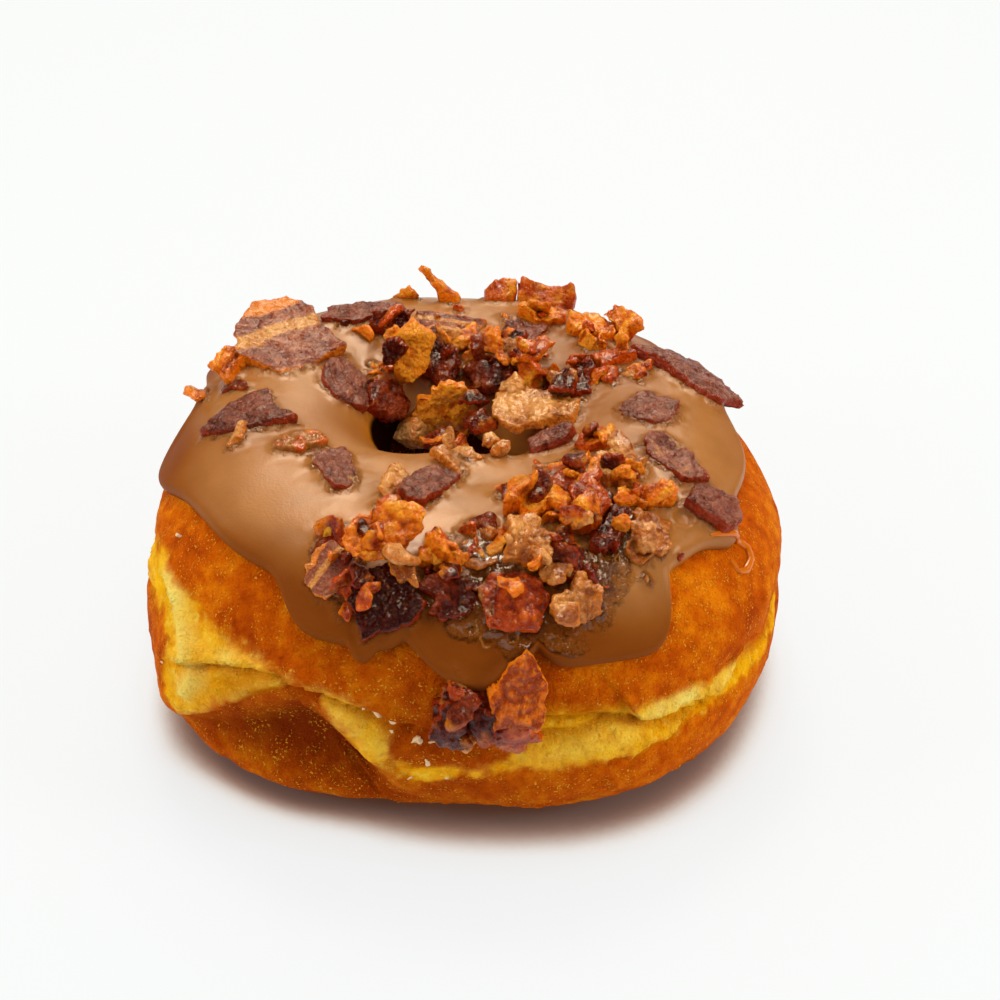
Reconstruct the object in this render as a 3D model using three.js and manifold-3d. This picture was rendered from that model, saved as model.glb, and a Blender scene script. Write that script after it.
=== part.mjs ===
// Maple bacon doughnut: a yeast-raised ring, dented at its front left, with a lobed skin of maple icing and a
// crown of chopped crisp bacon. Millimetres, +Z up, resting on z = 0. The front of the doughnut faces -Y.
//
// Two angles place everything. The ring angle goes round the hole, from +X and anticlockwise seen from above,
// so the front is at 270. The section angle goes round the dough itself: 0 at the outer wall, 90 on top,
// 180 in the hole and 270 underneath.

import * as THREE from "three";
import * as BufferGeometryUtils from "three/addons/utils/BufferGeometryUtils.js";
import Module from "manifold-3d";

const wasm = await Module();
wasm.setup();

// Dough ring
const OUTER_RADIUS = [49.7, 47.5, 49, 49, 50, 50, 47, 52, 51.3, 49.8, 53.3, 52.8]; // at every 30 degrees of ring
const TOP_HEIGHT = [42, 40.8, 41.3, 43.2, 42.6, 42.2]; // at every 60 degrees of ring
const EQUATOR_HEIGHT = 20;
const HOLE_RADIUS = 9;
const HOLE_CENTRE = [-1.5, 2.5]; // the hole isn't quite in the middle of the ring
const UPPER_SQUARENESS = 2.2; // superellipse power of the section above the equator
const LOWER_SQUARENESS = 2.6;
const BASE_CUT = 1.04; // the section would reach this far below the equator, and the table flattens it
const BASE_SHIFT = [-1.24, 2.49]; // moves the middle of the finished outline onto the origin

// Pale band round the ring, where the two fried halves meet
const BAND_HEIGHT = [22, 22, 22, 22, 23, 24, 26, 28, 26, 20, 21.5, 22]; // at every 30 degrees of ring
const BAND_HALF_WIDTH = 7;
const BAND_DEPTH = 1.3;
const CRUST_SWELL = 0.5; // the lower crust stands out a little under the band

// Dent pushed into the lower crust at the front left, arched over by the band
const DENT_RING = 245;
const DENT_APEX_HEIGHT = 28;
const DENT_FALL_LEFT = 0.55; // mm of arch height lost for each degree of ring
const DENT_FALL_RIGHT = 1.2;
const DENT_DEPTH = 6.5;
const DENT_SLOPE = 11; // height over which the dent reaches its depth
const DENT_FLOOR = 3; // the crust is whole again below this height
const DENT_FOOT = 11; // height over which it comes out again
const CORNER_RING = 216; // the band folds into a corner at the left end of the dent
const CORNER_HEIGHT = 17;
const CORNER_SWELL = 1.6;
const FOOT_RING = 228; // the lower rim bulges out under the dent
const FOOT_HEIGHT = 6;
const FOOT_SWELL = 2.6;
const LOWER_HEIGHT = 9; // middle of the lower crust
const LUMP_DEPTH = 0.4;

// Icing
const GAP = 0.3; // between neighbouring solids
const ICING_GAP = 0.45; // a little more under the icing, where its flat faces cut across the dough's curve
const ICING_THICKNESS = 1.3;
const ICING_EDGE_THICKNESS = 0.6;
const ICING_EDGE_ROUND = 3; // distance over which the icing rises from its edge
const ICING_OUTER_EDGE = 54; // section angle where the icing ends between its lobes
const ICING_EDGE_WAVE = 1.5;
const ICING_INNER_EDGE = 152;
const ICING_INNER_WAVE = 5;
const ICING_LOBES = [
  { ring: 188, half: 13, power: 2, reach: 16 },
  { ring: 251, half: 13, power: 4, reach: 21 },
  { ring: 254, half: 5, power: 2, reach: 26 },
  { ring: 273, half: 14, power: 2, reach: 31 },
  { ring: 294, half: 13, power: 6, reach: 27 },
  { ring: 326, half: 5, power: 2, reach: 9 },
  { ring: 18, half: 10, power: 2, reach: 7 },
  { ring: 52, half: 12, power: 3, reach: 14 },
  { ring: 88, half: 9, power: 2, reach: 8 },
  { ring: 118, half: 14, power: 3, reach: 17 },
  { ring: 152, half: 9, power: 2, reach: 10 },
];

// Faces
const FINE = { ring: 72, wall: 13, top: 5, hole: 3, base: 3, icingTop: 10, icingUnder: 9 };
const COARSE = { ring: 36, wall: 8, top: 4, hole: 2, base: 2, icingTop: 7, icingUnder: 2 };
const COARSE_SAG = 0.35; // how far a coarse face can cut inside the true surface
const GROW_SPREAD = 1.2; // degrees of section added at the icing's edges for each mm of growth
const GROW_DOWN = 5; // mm added below the icing for each mm of growth
const RIM_STEPS = 10; // round the edge of a piece of bacon

// Bacon
const SINK = 0.5; // how far a piece settles into the icing before it is cut to fit
const RAGGED = 0.2;
const BACON_SQUARENESS = 4;
const FLAT_SHARE = 0.62; // share of a piece's half width out to which its faces stay flat
const EDGE_THINNING = 0.35; // share of its thickness lost at the rim
const RIPPLE = 0.12; // height of its ripples as a share of its thickness

const COLOURS = {
  dough: { color: 0xb5530c, roughness: 0.55 },
  icing: { color: 0xb97c4c, roughness: 0.3 },
  lean: { color: 0x875048, roughness: 0.5 },
  streaky: { color: 0xb06a3c, roughness: 0.5 },
  dark: { color: 0x5a2018, roughness: 0.35 },
  red: { color: 0xa83a18, roughness: 0.35 },
  crisp: { color: 0xd07818, roughness: 0.45 },
  tan: { color: 0xcf9858, roughness: 0.5 },
};

const UP = new THREE.Vector3(0, 0, 1);
const radians = THREE.MathUtils.degToRad;
const lerp = THREE.MathUtils.lerp;
const smoothstep = THREE.MathUtils.smoothstep;
const signedPower = (x, power) => Math.sign(x) * Math.abs(x) ** power;

// A smooth closed curve through equally spaced stations, read at a ring angle.
function around(stations, ring) {
  const n = stations.length;
  const place = ((((ring / 360) * n) % n) + n) % n;
  const i = Math.floor(place);
  const t = place - i;
  const [a, b, c, d] = [-1, 0, 1, 2].map((k) => stations[(i + k + n) % n]);
  return b + 0.5 * t * (c - a + t * (2 * a - 5 * b + 4 * c - d + t * (3 * (b - c) + d - a)));
}

// Signed difference of two ring angles, between -180 and 180.
const turn = (a, b) => ((((a - b) % 360) + 540) % 360) - 180;

// One smooth hump, 1 in the middle and 0 from `half` outwards.
function hump(distance, half) {
  return Math.abs(distance) < half ? Math.cos(((distance / half) * Math.PI) / 2) ** 2 : 0;
}

// How far the outer wall stands out of the plain section, at a ring angle and a height.
function wallRelief(ring, height) {
  const fromDent = turn(ring, DENT_RING);
  const fall = fromDent < 0 ? DENT_FALL_LEFT : DENT_FALL_RIGHT;
  const arch = DENT_APEX_HEIGHT - fall * (Math.hypot(fromDent, 2) - 2);
  const above = smoothstep(height, DENT_FLOOR, DENT_FLOOR + DENT_FOOT);
  const dent = smoothstep(arch - height, 0, DENT_SLOPE) * above;
  const nearDent = hump(fromDent, 45);
  const band = hump(height - around(BAND_HEIGHT, ring), BAND_HALF_WIDTH) * (1 - nearDent);
  const lower = hump(height - LOWER_HEIGHT, LOWER_HEIGHT) * (1 - nearDent);
  const corner = hump(turn(ring, CORNER_RING), 11) * hump(height - CORNER_HEIGHT, 14);
  const foot = hump(turn(ring, FOOT_RING), 38) * hump(height - FOOT_HEIGHT, 12);
  const lumps = LUMP_DEPTH * Math.sin(radians(5 * ring + 40)) * Math.sin(height / 7);
  const out = lumps + CORNER_SWELL * corner + FOOT_SWELL * foot + CRUST_SWELL * lower;
  return out - BAND_DEPTH * band - DENT_DEPTH * dent;
}

function doughPoint(ring, section) {
  const outer = around(OUTER_RADIUS, ring);
  const top = around(TOP_HEIGHT, ring);
  const across = Math.cos(radians(section));
  const up = Math.sin(radians(section));
  const power = 2 / (up >= 0 ? UPPER_SQUARENESS : LOWER_SQUARENESS);
  const reach = up >= 0 ? top - EQUATOR_HEIGHT : EQUATOR_HEIGHT * BASE_CUT;
  const z = Math.max(0, EQUATOR_HEIGHT + reach * signedPower(up, power));
  const plain = (outer + HOLE_RADIUS) / 2 + ((outer - HOLE_RADIUS) / 2) * signedPower(across, power);
  const inward = (outer - plain) / (outer - HOLE_RADIUS);
  const r = plain + wallRelief(ring, z) * smoothstep(across, 0.05, 0.6);
  return new THREE.Vector3(
    r * Math.cos(radians(ring)) + HOLE_CENTRE[0] * inward,
    r * Math.sin(radians(ring)) + HOLE_CENTRE[1] * inward,
    z
  );
}

function doughNormal(ring, section) {
  const alongRing = doughPoint(ring + 0.5, section).sub(doughPoint(ring - 0.5, section));
  const alongSection = doughPoint(ring, section + 0.5).sub(doughPoint(ring, section - 0.5));
  return alongRing.cross(alongSection).normalize();
}

function onDough(ring, section, lift) {
  return doughPoint(ring, section).addScaledVector(doughNormal(ring, section), lift);
}

// A closed skin from a grid of points that wraps round both ways. Each four-sided cell is split along its
// shorter diagonal, which keeps the faces close to the true surface.
function wrappedGrid(columns, rows, pointAt) {
  const points = [];
  for (let i = 0; i < columns; i++) {
    for (let j = 0; j < rows; j++) {
      points.push(pointAt(i, j));
    }
  }
  const faces = [];
  for (let i = 0; i < columns; i++) {
    for (let j = 0; j < rows; j++) {
      const a = i * rows + j;
      const b = ((i + 1) % columns) * rows + j;
      const c = ((i + 1) % columns) * rows + ((j + 1) % rows);
      const d = i * rows + ((j + 1) % rows);
      const straight = points[a].distanceTo(points[c]) <= points[b].distanceTo(points[d]);
      faces.push(...(straight ? [a, b, c, a, c, d] : [a, b, d, b, c, d]));
    }
  }
  return closedGeometry(
    points.flatMap((point) => point.toArray()),
    faces
  );
}

function closedGeometry(positions, faces) {
  const geometry = new THREE.BufferGeometry();
  geometry.setAttribute("position", new THREE.Float32BufferAttribute(positions, 3));
  geometry.setIndex(faces);
  return geometry;
}

// Section angles of the dough's rows, closest together on the wall.
function sectionRows(steps) {
  const spans = [
    [-72, 72, steps.wall],
    [72, 148, steps.top],
    [148, 212, steps.hole],
    [212, 288, steps.base],
  ];
  return spans.flatMap(([from, to, rows]) => {
    return Array.from({ length: rows }, (_, i) => lerp(from, to, i / rows));
  });
}

function doughGeometry(steps, grow = 0) {
  const sections = sectionRows(steps);
  return wrappedGrid(steps.ring, sections.length, (i, j) => {
    const ring = (i / steps.ring) * 360;
    return grow > 0 ? onDough(ring, sections[j], grow) : doughPoint(ring, sections[j]);
  });
}

// Section angle of the icing's outer edge: lobes hang down from an even line.
function icingEdge(ring) {
  const reaches = ICING_LOBES.map((lobe) => {
    return lobe.reach * Math.exp(-(Math.abs(turn(ring, lobe.ring) / lobe.half) ** lobe.power));
  });
  return ICING_OUTER_EDGE - Math.max(...reaches) + ICING_EDGE_WAVE * Math.sin(radians(9 * ring));
}

const icingInnerEdge = (ring) => ICING_INNER_EDGE + ICING_INNER_WAVE * Math.sin(radians(2 * ring + 30));

// The icing from its outer edge, share 0, over the top to its edge in the hole, share 1.
function icingSection(ring, share) {
  return lerp(icingEdge(ring), icingInnerEdge(ring), share);
}

function icingThickness(ring, share) {
  const across = doughPoint(ring, icingEdge(ring)).distanceTo(doughPoint(ring, icingInnerEdge(ring)));
  const fromEdge = Math.min(share, 1 - share) * across;
  const round = 1 - Math.max(0, 1 - fromEdge / ICING_EDGE_ROUND) ** 2;
  return lerp(ICING_EDGE_THICKNESS, ICING_THICKNESS, round);
}

// grow makes the same skin larger all round, as a tool that keeps other pieces clear of it. The tool reaches
// down into the dough, so that no sliver is left between the two.
function icingGeometry(steps, grow = 0) {
  const rows = steps.icingTop + 1 + steps.icingUnder + 1;
  return wrappedGrid(steps.ring, rows, (i, j) => {
    const ring = (i / steps.ring) * 360;
    const onTop = j <= steps.icingTop;
    const step = onTop ? j / steps.icingTop : 1 - (j - steps.icingTop - 1) / steps.icingUnder;
    const share = 0.5 - 0.5 * Math.cos(Math.PI * step);
    const spread = -GROW_SPREAD * grow * Math.cos(Math.PI * step);
    const lift = onTop ? ICING_GAP + icingThickness(ring, share) + grow : ICING_GAP - GROW_DOWN * grow;
    return onDough(ring, icingSection(ring, share) + spread, lift);
  });
}

// A seeded run of numbers between 0 and 1.
function randomFrom(seed) {
  let state = seed * 7919 + 17;
  return () => {
    state = (state * 1103515245 + 12345) % 2147483648;
    return state / 2147483648;
  };
}

// One chopped piece: a ragged slab, curled along its length and twisted. taper narrows its far end.
function baconGeometry(piece, seed, grow = 0) {
  const { long, wide, thick, curl = 0, taper = 0, twist = 0 } = piece;
  const random = randomFrom(seed);
  const rim = Array.from({ length: RIM_STEPS }, () => 1 + RAGGED * (2 * random() - 1));
  const wave = random() * Math.PI * 2;
  const halfLong = long / 2;
  const halfWide = wide / 2;
  const ringPoint = (k, share, side) => {
    const angle = (k / RIM_STEPS) * Math.PI * 2;
    const c = Math.cos(angle);
    const s = Math.sin(angle);
    const sum = Math.abs(c) ** BACON_SQUARENESS + Math.abs(s) ** BACON_SQUARENESS;
    const square = sum ** (-1 / BACON_SQUARENESS);
    const reach = share * square * rim[k];
    const x = reach * (halfLong + grow) * c;
    const y = reach * (halfWide + grow) * s * (1 - (taper * reach * c + taper) / 2);
    const bend = curl * ((x / halfLong) ** 2 - 0.4) + (twist * x * y) / (halfLong * halfWide);
    const ripple = RIPPLE * thick * Math.sin((2 * x) / thick + wave);
    const half = (thick / 2) * (1 - EDGE_THINNING * share ** 2) + grow;
    return [x, y, bend + ripple + side * half];
  };
  const positions = [...ringPoint(0, 0, 1)];
  const levels = [
    [FLAT_SHARE, 1],
    [1, 1],
    [1, -1],
    [FLAT_SHARE, -1],
  ];
  for (const [share, side] of levels) {
    for (let k = 0; k < RIM_STEPS; k++) {
      positions.push(...ringPoint(k, share, side));
    }
  }
  positions.push(...ringPoint(0, 0, -1));
  const last = 1 + levels.length * RIM_STEPS;
  const faces = [];
  for (let k = 0; k < RIM_STEPS; k++) {
    const next = (k + 1) % RIM_STEPS;
    faces.push(0, 1 + k, 1 + next);
    for (let level = 0; level < levels.length - 1; level++) {
      const a = 1 + level * RIM_STEPS;
      const b = a + RIM_STEPS;
      faces.push(a + k, b + k, b + next, a + k, b + next, a + next);
    }
    const low = last - RIM_STEPS;
    faces.push(last, low + next, low + k);
  }
  return closedGeometry(positions, faces).applyMatrix4(baconPlace(piece));
}

// Where a piece lies: on the icing at its ring and section angles, its length along yaw seen from above,
// its far end raised by tip and its far side by lean. level turns it from the slope there towards flat.
function baconPlace(piece) {
  const { ring, section, long, wide, thick, yaw = 0, tip = 0, lean = 0, lift = 0, level = 0 } = piece;
  const normal = doughNormal(ring, section).lerp(UP, level).normalize();
  const along = new THREE.Vector3(Math.cos(radians(yaw)), Math.sin(radians(yaw)), 0);
  along.addScaledVector(normal, -along.dot(normal)).normalize();
  const side = new THREE.Vector3().crossVectors(normal, along);
  const tilted = new THREE.Matrix4().makeRotationX(radians(lean));
  tilted.premultiply(new THREE.Matrix4().makeRotationY(-radians(tip)));
  const stands =
    (thick * Math.cos(radians(lean)) +
      wide * Math.abs(Math.sin(radians(lean))) +
      long * Math.abs(Math.sin(radians(tip)))) /
    2;
  const iced = section > icingEdge(ring) ? ICING_GAP + ICING_THICKNESS : 0;
  const centre = onDough(ring, section, iced + stands - SINK + lift);
  return new THREE.Matrix4().makeBasis(along, side, normal).multiply(tilted).setPosition(centre);
}

// The pieces that show, as chopped: lean meat, streaky rasher, dark or red glazed meat, crisp or tan fat.
// The first ones keep their whole shape, and later ones are cut clear of them.
const BACON = [
  // back left
  { look: "streaky", ring: 149.5, section: 87, long: 15.5, wide: 13, thick: 2.2, yaw: 27, lean: 18, curl: 0.6 },
  { look: "crisp", ring: 166, section: 72, long: 6.5, wide: 5, thick: 2, yaw: 60, lean: 50, curl: 1 },
  { look: "lean", ring: 157, section: 116, long: 11, wide: 7.5, thick: 2.2, yaw: 105, taper: 0.1 },
  { look: "lean", ring: 190, section: 82, long: 12.5, wide: 11, thick: 1.8, yaw: 205, taper: 0.7 },
  { look: "lean", ring: 229, section: 99, long: 13, wide: 8.5, thick: 2, yaw: 285, taper: 0.6, lift: -0.2 },
  { look: "red", ring: 210, section: 100, long: 8, wide: 5, thick: 2, yaw: 35, lift: -0.2 },
  { look: "lean", ring: 118, section: 84, long: 13, wide: 7, thick: 2.2, yaw: 8, curl: 0.6 },
  { look: "dark", ring: 113, section: 98, long: 8, wide: 4.5, thick: 2.4, yaw: 12, lean: 45 },
  // back
  { look: "crisp", ring: 95, section: 78, long: 8.8, wide: 3, thick: 2, yaw: 165, tip: 38, taper: 0.5 },
  { look: "red", ring: 79, section: 72, long: 6, wide: 4.2, thick: 2, yaw: 5, lean: 60 },
  { look: "red", ring: 68, section: 67, long: 9.5, wide: 5.2, thick: 1.8, yaw: 350, lean: 75, curl: -0.6 },
  { look: "streaky", ring: 92, section: 101, long: 11, wide: 5.5, thick: 2.4, yaw: 350, lean: 10 },
  { look: "crisp", ring: 63, section: 86, long: 7.5, wide: 5.5, thick: 3.4, yaw: 10 },
  { look: "lean", ring: 65, section: 99, long: 7, wide: 5.5, thick: 2.4, yaw: 340 },
  { look: "crisp", ring: 46, section: 83, long: 8.5, wide: 6, thick: 3.2, yaw: 345 },
  { look: "crisp", ring: 41, section: 76, long: 7, wide: 5.5, thick: 3, yaw: 300, lean: 35 },
  // round the hole
  { look: "tan", ring: 2, section: 129, long: 14.5, wide: 9.5, thick: 2.6, yaw: 348, lift: 3, level: 0.8 },
  { look: "crisp", ring: 101, section: 143, long: 10, wide: 9, thick: 2.6, yaw: 330, lean: 35, lift: 0.5 },
  { look: "crisp", ring: 117, section: 119, long: 9, wide: 6.5, thick: 3, yaw: 70, tip: 34, lean: 25 },
  { look: "dark", ring: 98, section: 124, long: 7.5, wide: 7, thick: 4, yaw: 300, lift: 1.5 },
  { look: "tan", ring: 69, section: 113, long: 8, wide: 5.2, thick: 3, yaw: 350, lift: 1.2, curl: 1 },
  { look: "dark", ring: 63, section: 126, long: 9.5, wide: 7, thick: 4, yaw: 10, lift: 1 },
  { look: "red", ring: 44, section: 118, long: 9.5, wide: 5, thick: 3, yaw: 290, lean: 30, lift: 1 },
  { look: "dark", ring: 145, section: 133, long: 8.5, wide: 6, thick: 3.2, yaw: 10, lift: 0.5 },
  { look: "tan", ring: 137, section: 149, long: 4.6, wide: 4.4, thick: 4, yaw: 0, lift: 0.5 },
  { look: "lean", ring: 330, section: 121, long: 8, wide: 4, thick: 2.2, yaw: 14, lean: 20, lift: 1 },
  // right
  { look: "dark", ring: 20, section: 112, long: 9.5, wide: 8, thick: 3.2, yaw: 20 },
  { look: "red", ring: 26, section: 94, long: 11, wide: 4, thick: 3, yaw: 15 },
  { look: "lean", ring: 18, section: 64, long: 18, wide: 7, thick: 2.4, yaw: 318, curl: -0.8 },
  { look: "lean", ring: 355, section: 90, long: 9, wide: 8, thick: 1.8, yaw: 345 },
  { look: "lean", ring: 334, section: 81, long: 11.5, wide: 6.2, thick: 1.9, yaw: 300 },
  { look: "red", ring: 331, section: 105, long: 5.5, wide: 4.6, thick: 3.2, yaw: 40 },
  { look: "lean", ring: 326, section: 60, long: 9.5, wide: 8, thick: 2.6, yaw: 335, lift: 0.6, lean: -8 },
  // front right
  { look: "red", ring: 300, section: 93, long: 11, wide: 5, thick: 3, yaw: 345, lean: 25, lift: 0.8 },
  { look: "tan", ring: 319, section: 91, long: 8, wide: 7.5, thick: 3, yaw: 60 },
  { look: "crisp", ring: 291, section: 88, long: 9.5, wide: 6, thick: 2.4, yaw: 350, lift: 2.2, curl: 0.8 },
  { look: "red", ring: 300, section: 81, long: 9, wide: 5, thick: 3, yaw: 75, tip: 12, lift: 0.8 },
  { look: "crisp", ring: 315, section: 78, long: 9, wide: 5, thick: 2.6, yaw: 8, lift: 0.8, curl: 0.8 },
  { look: "dark", ring: 303, section: 74, long: 9.5, wide: 5.5, thick: 3, yaw: 80 },
  { look: "tan", ring: 308, section: 66, long: 9, wide: 7.2, thick: 3, yaw: 70 },
  { look: "tan", ring: 284, section: 69, long: 7.5, wide: 5.5, thick: 2.6, yaw: 10, lift: 2, lean: 20 },
  { look: "dark", ring: 290, section: 64, long: 6.5, wide: 5.5, thick: 3, yaw: 30 },
  { look: "red", ring: 280, section: 53, long: 10, wide: 8, thick: 2.6, yaw: 335 },
  { look: "tan", ring: 290, section: 51, long: 7, wide: 6, thick: 3, yaw: 60 },
  // front left
  { look: "crisp", ring: 255, section: 71, long: 11.5, wide: 6.8, thick: 2, yaw: 25, lift: 2.6, curl: 1.6, lean: 25 },
  { look: "dark", ring: 257, section: 51, long: 10.5, wide: 9.2, thick: 2.8, yaw: 35 },
  { look: "streaky", ring: 246, section: 59, long: 7.5, wide: 6.5, thick: 3, yaw: 55 },
  { look: "tan", ring: 260, section: 62, long: 6.5, wide: 5, thick: 2, yaw: 290, lift: 2.4, taper: 0.7 },
  { look: "crisp", ring: 268, section: 67, long: 7.5, wide: 4, thick: 3, yaw: 345 },
  { look: "dark", ring: 268, section: 55, long: 8, wide: 6, thick: 2.6, yaw: 10 },
  { look: "lean", ring: 262, section: 103, long: 11.5, wide: 6, thick: 2.6, yaw: 62, lean: 10 },
  // on the front wall
  { look: "crisp", ring: 279.5, section: 23, long: 11.5, wide: 8.5, thick: 2.4, yaw: 90, lift: 2.2, taper: 0.35 },
  { look: "dark", ring: 270.5, section: 13, long: 8.5, wide: 7, thick: 3, yaw: 280 },
  { look: "red", ring: 278.5, section: 7, long: 6.5, wide: 6, thick: 3.4, yaw: 280, lift: 0.4 },
];

// A closed three.js geometry as a solid that can be cut.
function toSolid(geometry) {
  const plain = geometry.clone();
  plain.deleteAttribute("normal");
  plain.deleteAttribute("uv");
  const merged = BufferGeometryUtils.mergeVertices(plain, 1e-4);
  const vertProperties = Float32Array.from(merged.attributes.position.array);
  const triVerts = Uint32Array.from(merged.index.array);
  return new wasm.Manifold(new wasm.Mesh({ numProp: 3, vertProperties, triVerts }));
}

function toGeometry(solid) {
  const mesh = solid.getMesh();
  return closedGeometry([...mesh.vertProperties], [...mesh.triVerts]);
}

// The largest body that a cut leaves; loose scraps are dropped.
function largestBody(solid) {
  const bodies = solid.decompose();
  bodies.sort((a, b) => b.volume() - a.volume());
  return bodies[0];
}

function material(look) {
  return new THREE.MeshStandardMaterial({ ...COLOURS[look], metalness: 0 });
}

function addMesh(group, name, geometry, look) {
  geometry.computeVertexNormals();
  const mesh = new THREE.Mesh(geometry, material(look));
  mesh.name = name;
  group.add(mesh);
}

function buildBacon(group) {
  const clear = GAP + COARSE_SAG;
  let taken = toSolid(doughGeometry(COARSE, clear)).add(toSolid(icingGeometry(COARSE, clear)));
  const made = {};
  BACON.forEach((piece, index) => {
    const whole = toSolid(baconGeometry(piece, index + 1));
    const body = largestBody(whole.subtract(taken));
    made[piece.look] = (made[piece.look] ?? 0) + 1;
    const name = `bacon_${piece.look}_${String(made[piece.look]).padStart(2, "0")}`;
    addMesh(group, name, toGeometry(body), piece.look);
    taken = taken.add(toSolid(baconGeometry(piece, index + 1, GAP)));
  });
}

const doughnut = new THREE.Group();
doughnut.position.set(BASE_SHIFT[0], BASE_SHIFT[1], 0);
addMesh(doughnut, "dough_ring", doughGeometry(FINE), "dough");
addMesh(doughnut, "maple_icing", icingGeometry(FINE), "icing");
buildBacon(doughnut);

export default doughnut;
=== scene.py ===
import math
from itertools import product

import bmesh
import bpy
import numpy as np
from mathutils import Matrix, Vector
from mathutils.bvhtree import BVHTree


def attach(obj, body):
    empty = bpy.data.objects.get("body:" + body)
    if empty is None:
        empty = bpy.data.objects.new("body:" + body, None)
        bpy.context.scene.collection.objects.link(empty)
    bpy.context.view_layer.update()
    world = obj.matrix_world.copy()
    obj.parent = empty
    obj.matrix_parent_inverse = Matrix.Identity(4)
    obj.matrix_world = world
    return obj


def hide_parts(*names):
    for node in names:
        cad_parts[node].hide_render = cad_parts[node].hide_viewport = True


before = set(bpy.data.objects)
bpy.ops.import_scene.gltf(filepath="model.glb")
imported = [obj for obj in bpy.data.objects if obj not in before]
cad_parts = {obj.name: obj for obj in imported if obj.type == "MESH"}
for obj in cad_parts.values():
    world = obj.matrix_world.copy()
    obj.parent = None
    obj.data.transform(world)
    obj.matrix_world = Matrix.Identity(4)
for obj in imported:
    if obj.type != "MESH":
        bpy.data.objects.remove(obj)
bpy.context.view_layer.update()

# The looks of the maple bacon doughnut. Lengths are in millimetres until a mesh is made.
# As in the part's source, the ring angle goes round the hole from +X and the front is at 270. The section
# angle goes round the dough itself: 0 at the outer wall, 90 on top, 180 in the hole and 270 underneath.

MM = 0.001

# Dough ring, as in the part's source
OUTER_RADIUS = [49.7, 47.5, 49, 49, 50, 50, 47, 52, 51.3, 49.8, 53.3, 52.8]
TOP_HEIGHT = [42, 40.8, 41.3, 43.2, 42.6, 42.2]
EQUATOR_HEIGHT = 20
HOLE_RADIUS = 9
HOLE_CENTRE = (-1.5, 2.5)
UPPER_SQUARENESS = 2.2
LOWER_SQUARENESS = 2.6
BASE_CUT = 1.04
BASE_SHIFT = np.array([-1.24, 2.49, 0.0])
BAND_HEIGHT = [22, 22, 22, 22, 23, 24, 26, 28, 26, 20, 21.5, 22]
BAND_HALF_WIDTH = 7
BAND_DEPTH = 1.3
CRUST_SWELL = 0.5
DENT_RING = 245
DENT_APEX_HEIGHT = 28
DENT_FALL_LEFT = 0.55
DENT_FALL_RIGHT = 1.2
DENT_DEPTH = 6.5
DENT_SLOPE = 11
DENT_FLOOR = 3
DENT_FOOT = 11
CORNER_RING = 216
CORNER_HEIGHT = 17
CORNER_SWELL = 1.6
FOOT_RING = 228
FOOT_HEIGHT = 6
FOOT_SWELL = 2.6
LOWER_HEIGHT = 9
LUMP_DEPTH = 0.4

# Icing, as in the part's source
ICING_GAP = 0.45
ICING_THICKNESS = 1.3
ICING_OUTER_EDGE = 54
ICING_EDGE_WAVE = 1.5
ICING_INNER_EDGE = 152
ICING_INNER_WAVE = 5
ICING_LOBES = [  # ring, half width, power, reach
    (188, 13, 2, 16),
    (251, 13, 4, 21),
    (254, 5, 2, 26),
    (273, 14, 2, 31),
    (294, 13, 6, 27),
    (326, 5, 2, 9),
    (18, 10, 2, 7),
    (52, 12, 3, 14),
    (88, 9, 2, 8),
    (118, 14, 3, 17),
    (152, 9, 2, 10),
]

# Pale band: its lower and upper edges as (ring, height)
BAND_LOW = [
    (0, 18), (90, 18), (150, 18), (190, 19), (203, 23), (211, 23), (217, 13), (222, 13.5), (232, 20.2),
    (242, 26.5), (247, 26), (251, 21.5), (254, 17), (257, 14), (261, 12.8), (266, 13.2), (271, 14.4),
    (300, 15.5), (310, 17.3), (330, 17), (345, 17.5),
]
BAND_HIGH = [
    (0, 22.5), (60, 24), (120, 26), (170, 28), (190, 30.5), (208, 34), (219, 32), (236, 29.8), (244, 29.2),
    (251, 27.8), (258, 24.6), (265, 22.6), (273, 24), (284, 26.8), (297, 25.3), (305, 24.1), (312, 24.3),
    (319, 23.4), (327, 21.2), (338, 19.8),
]

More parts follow.
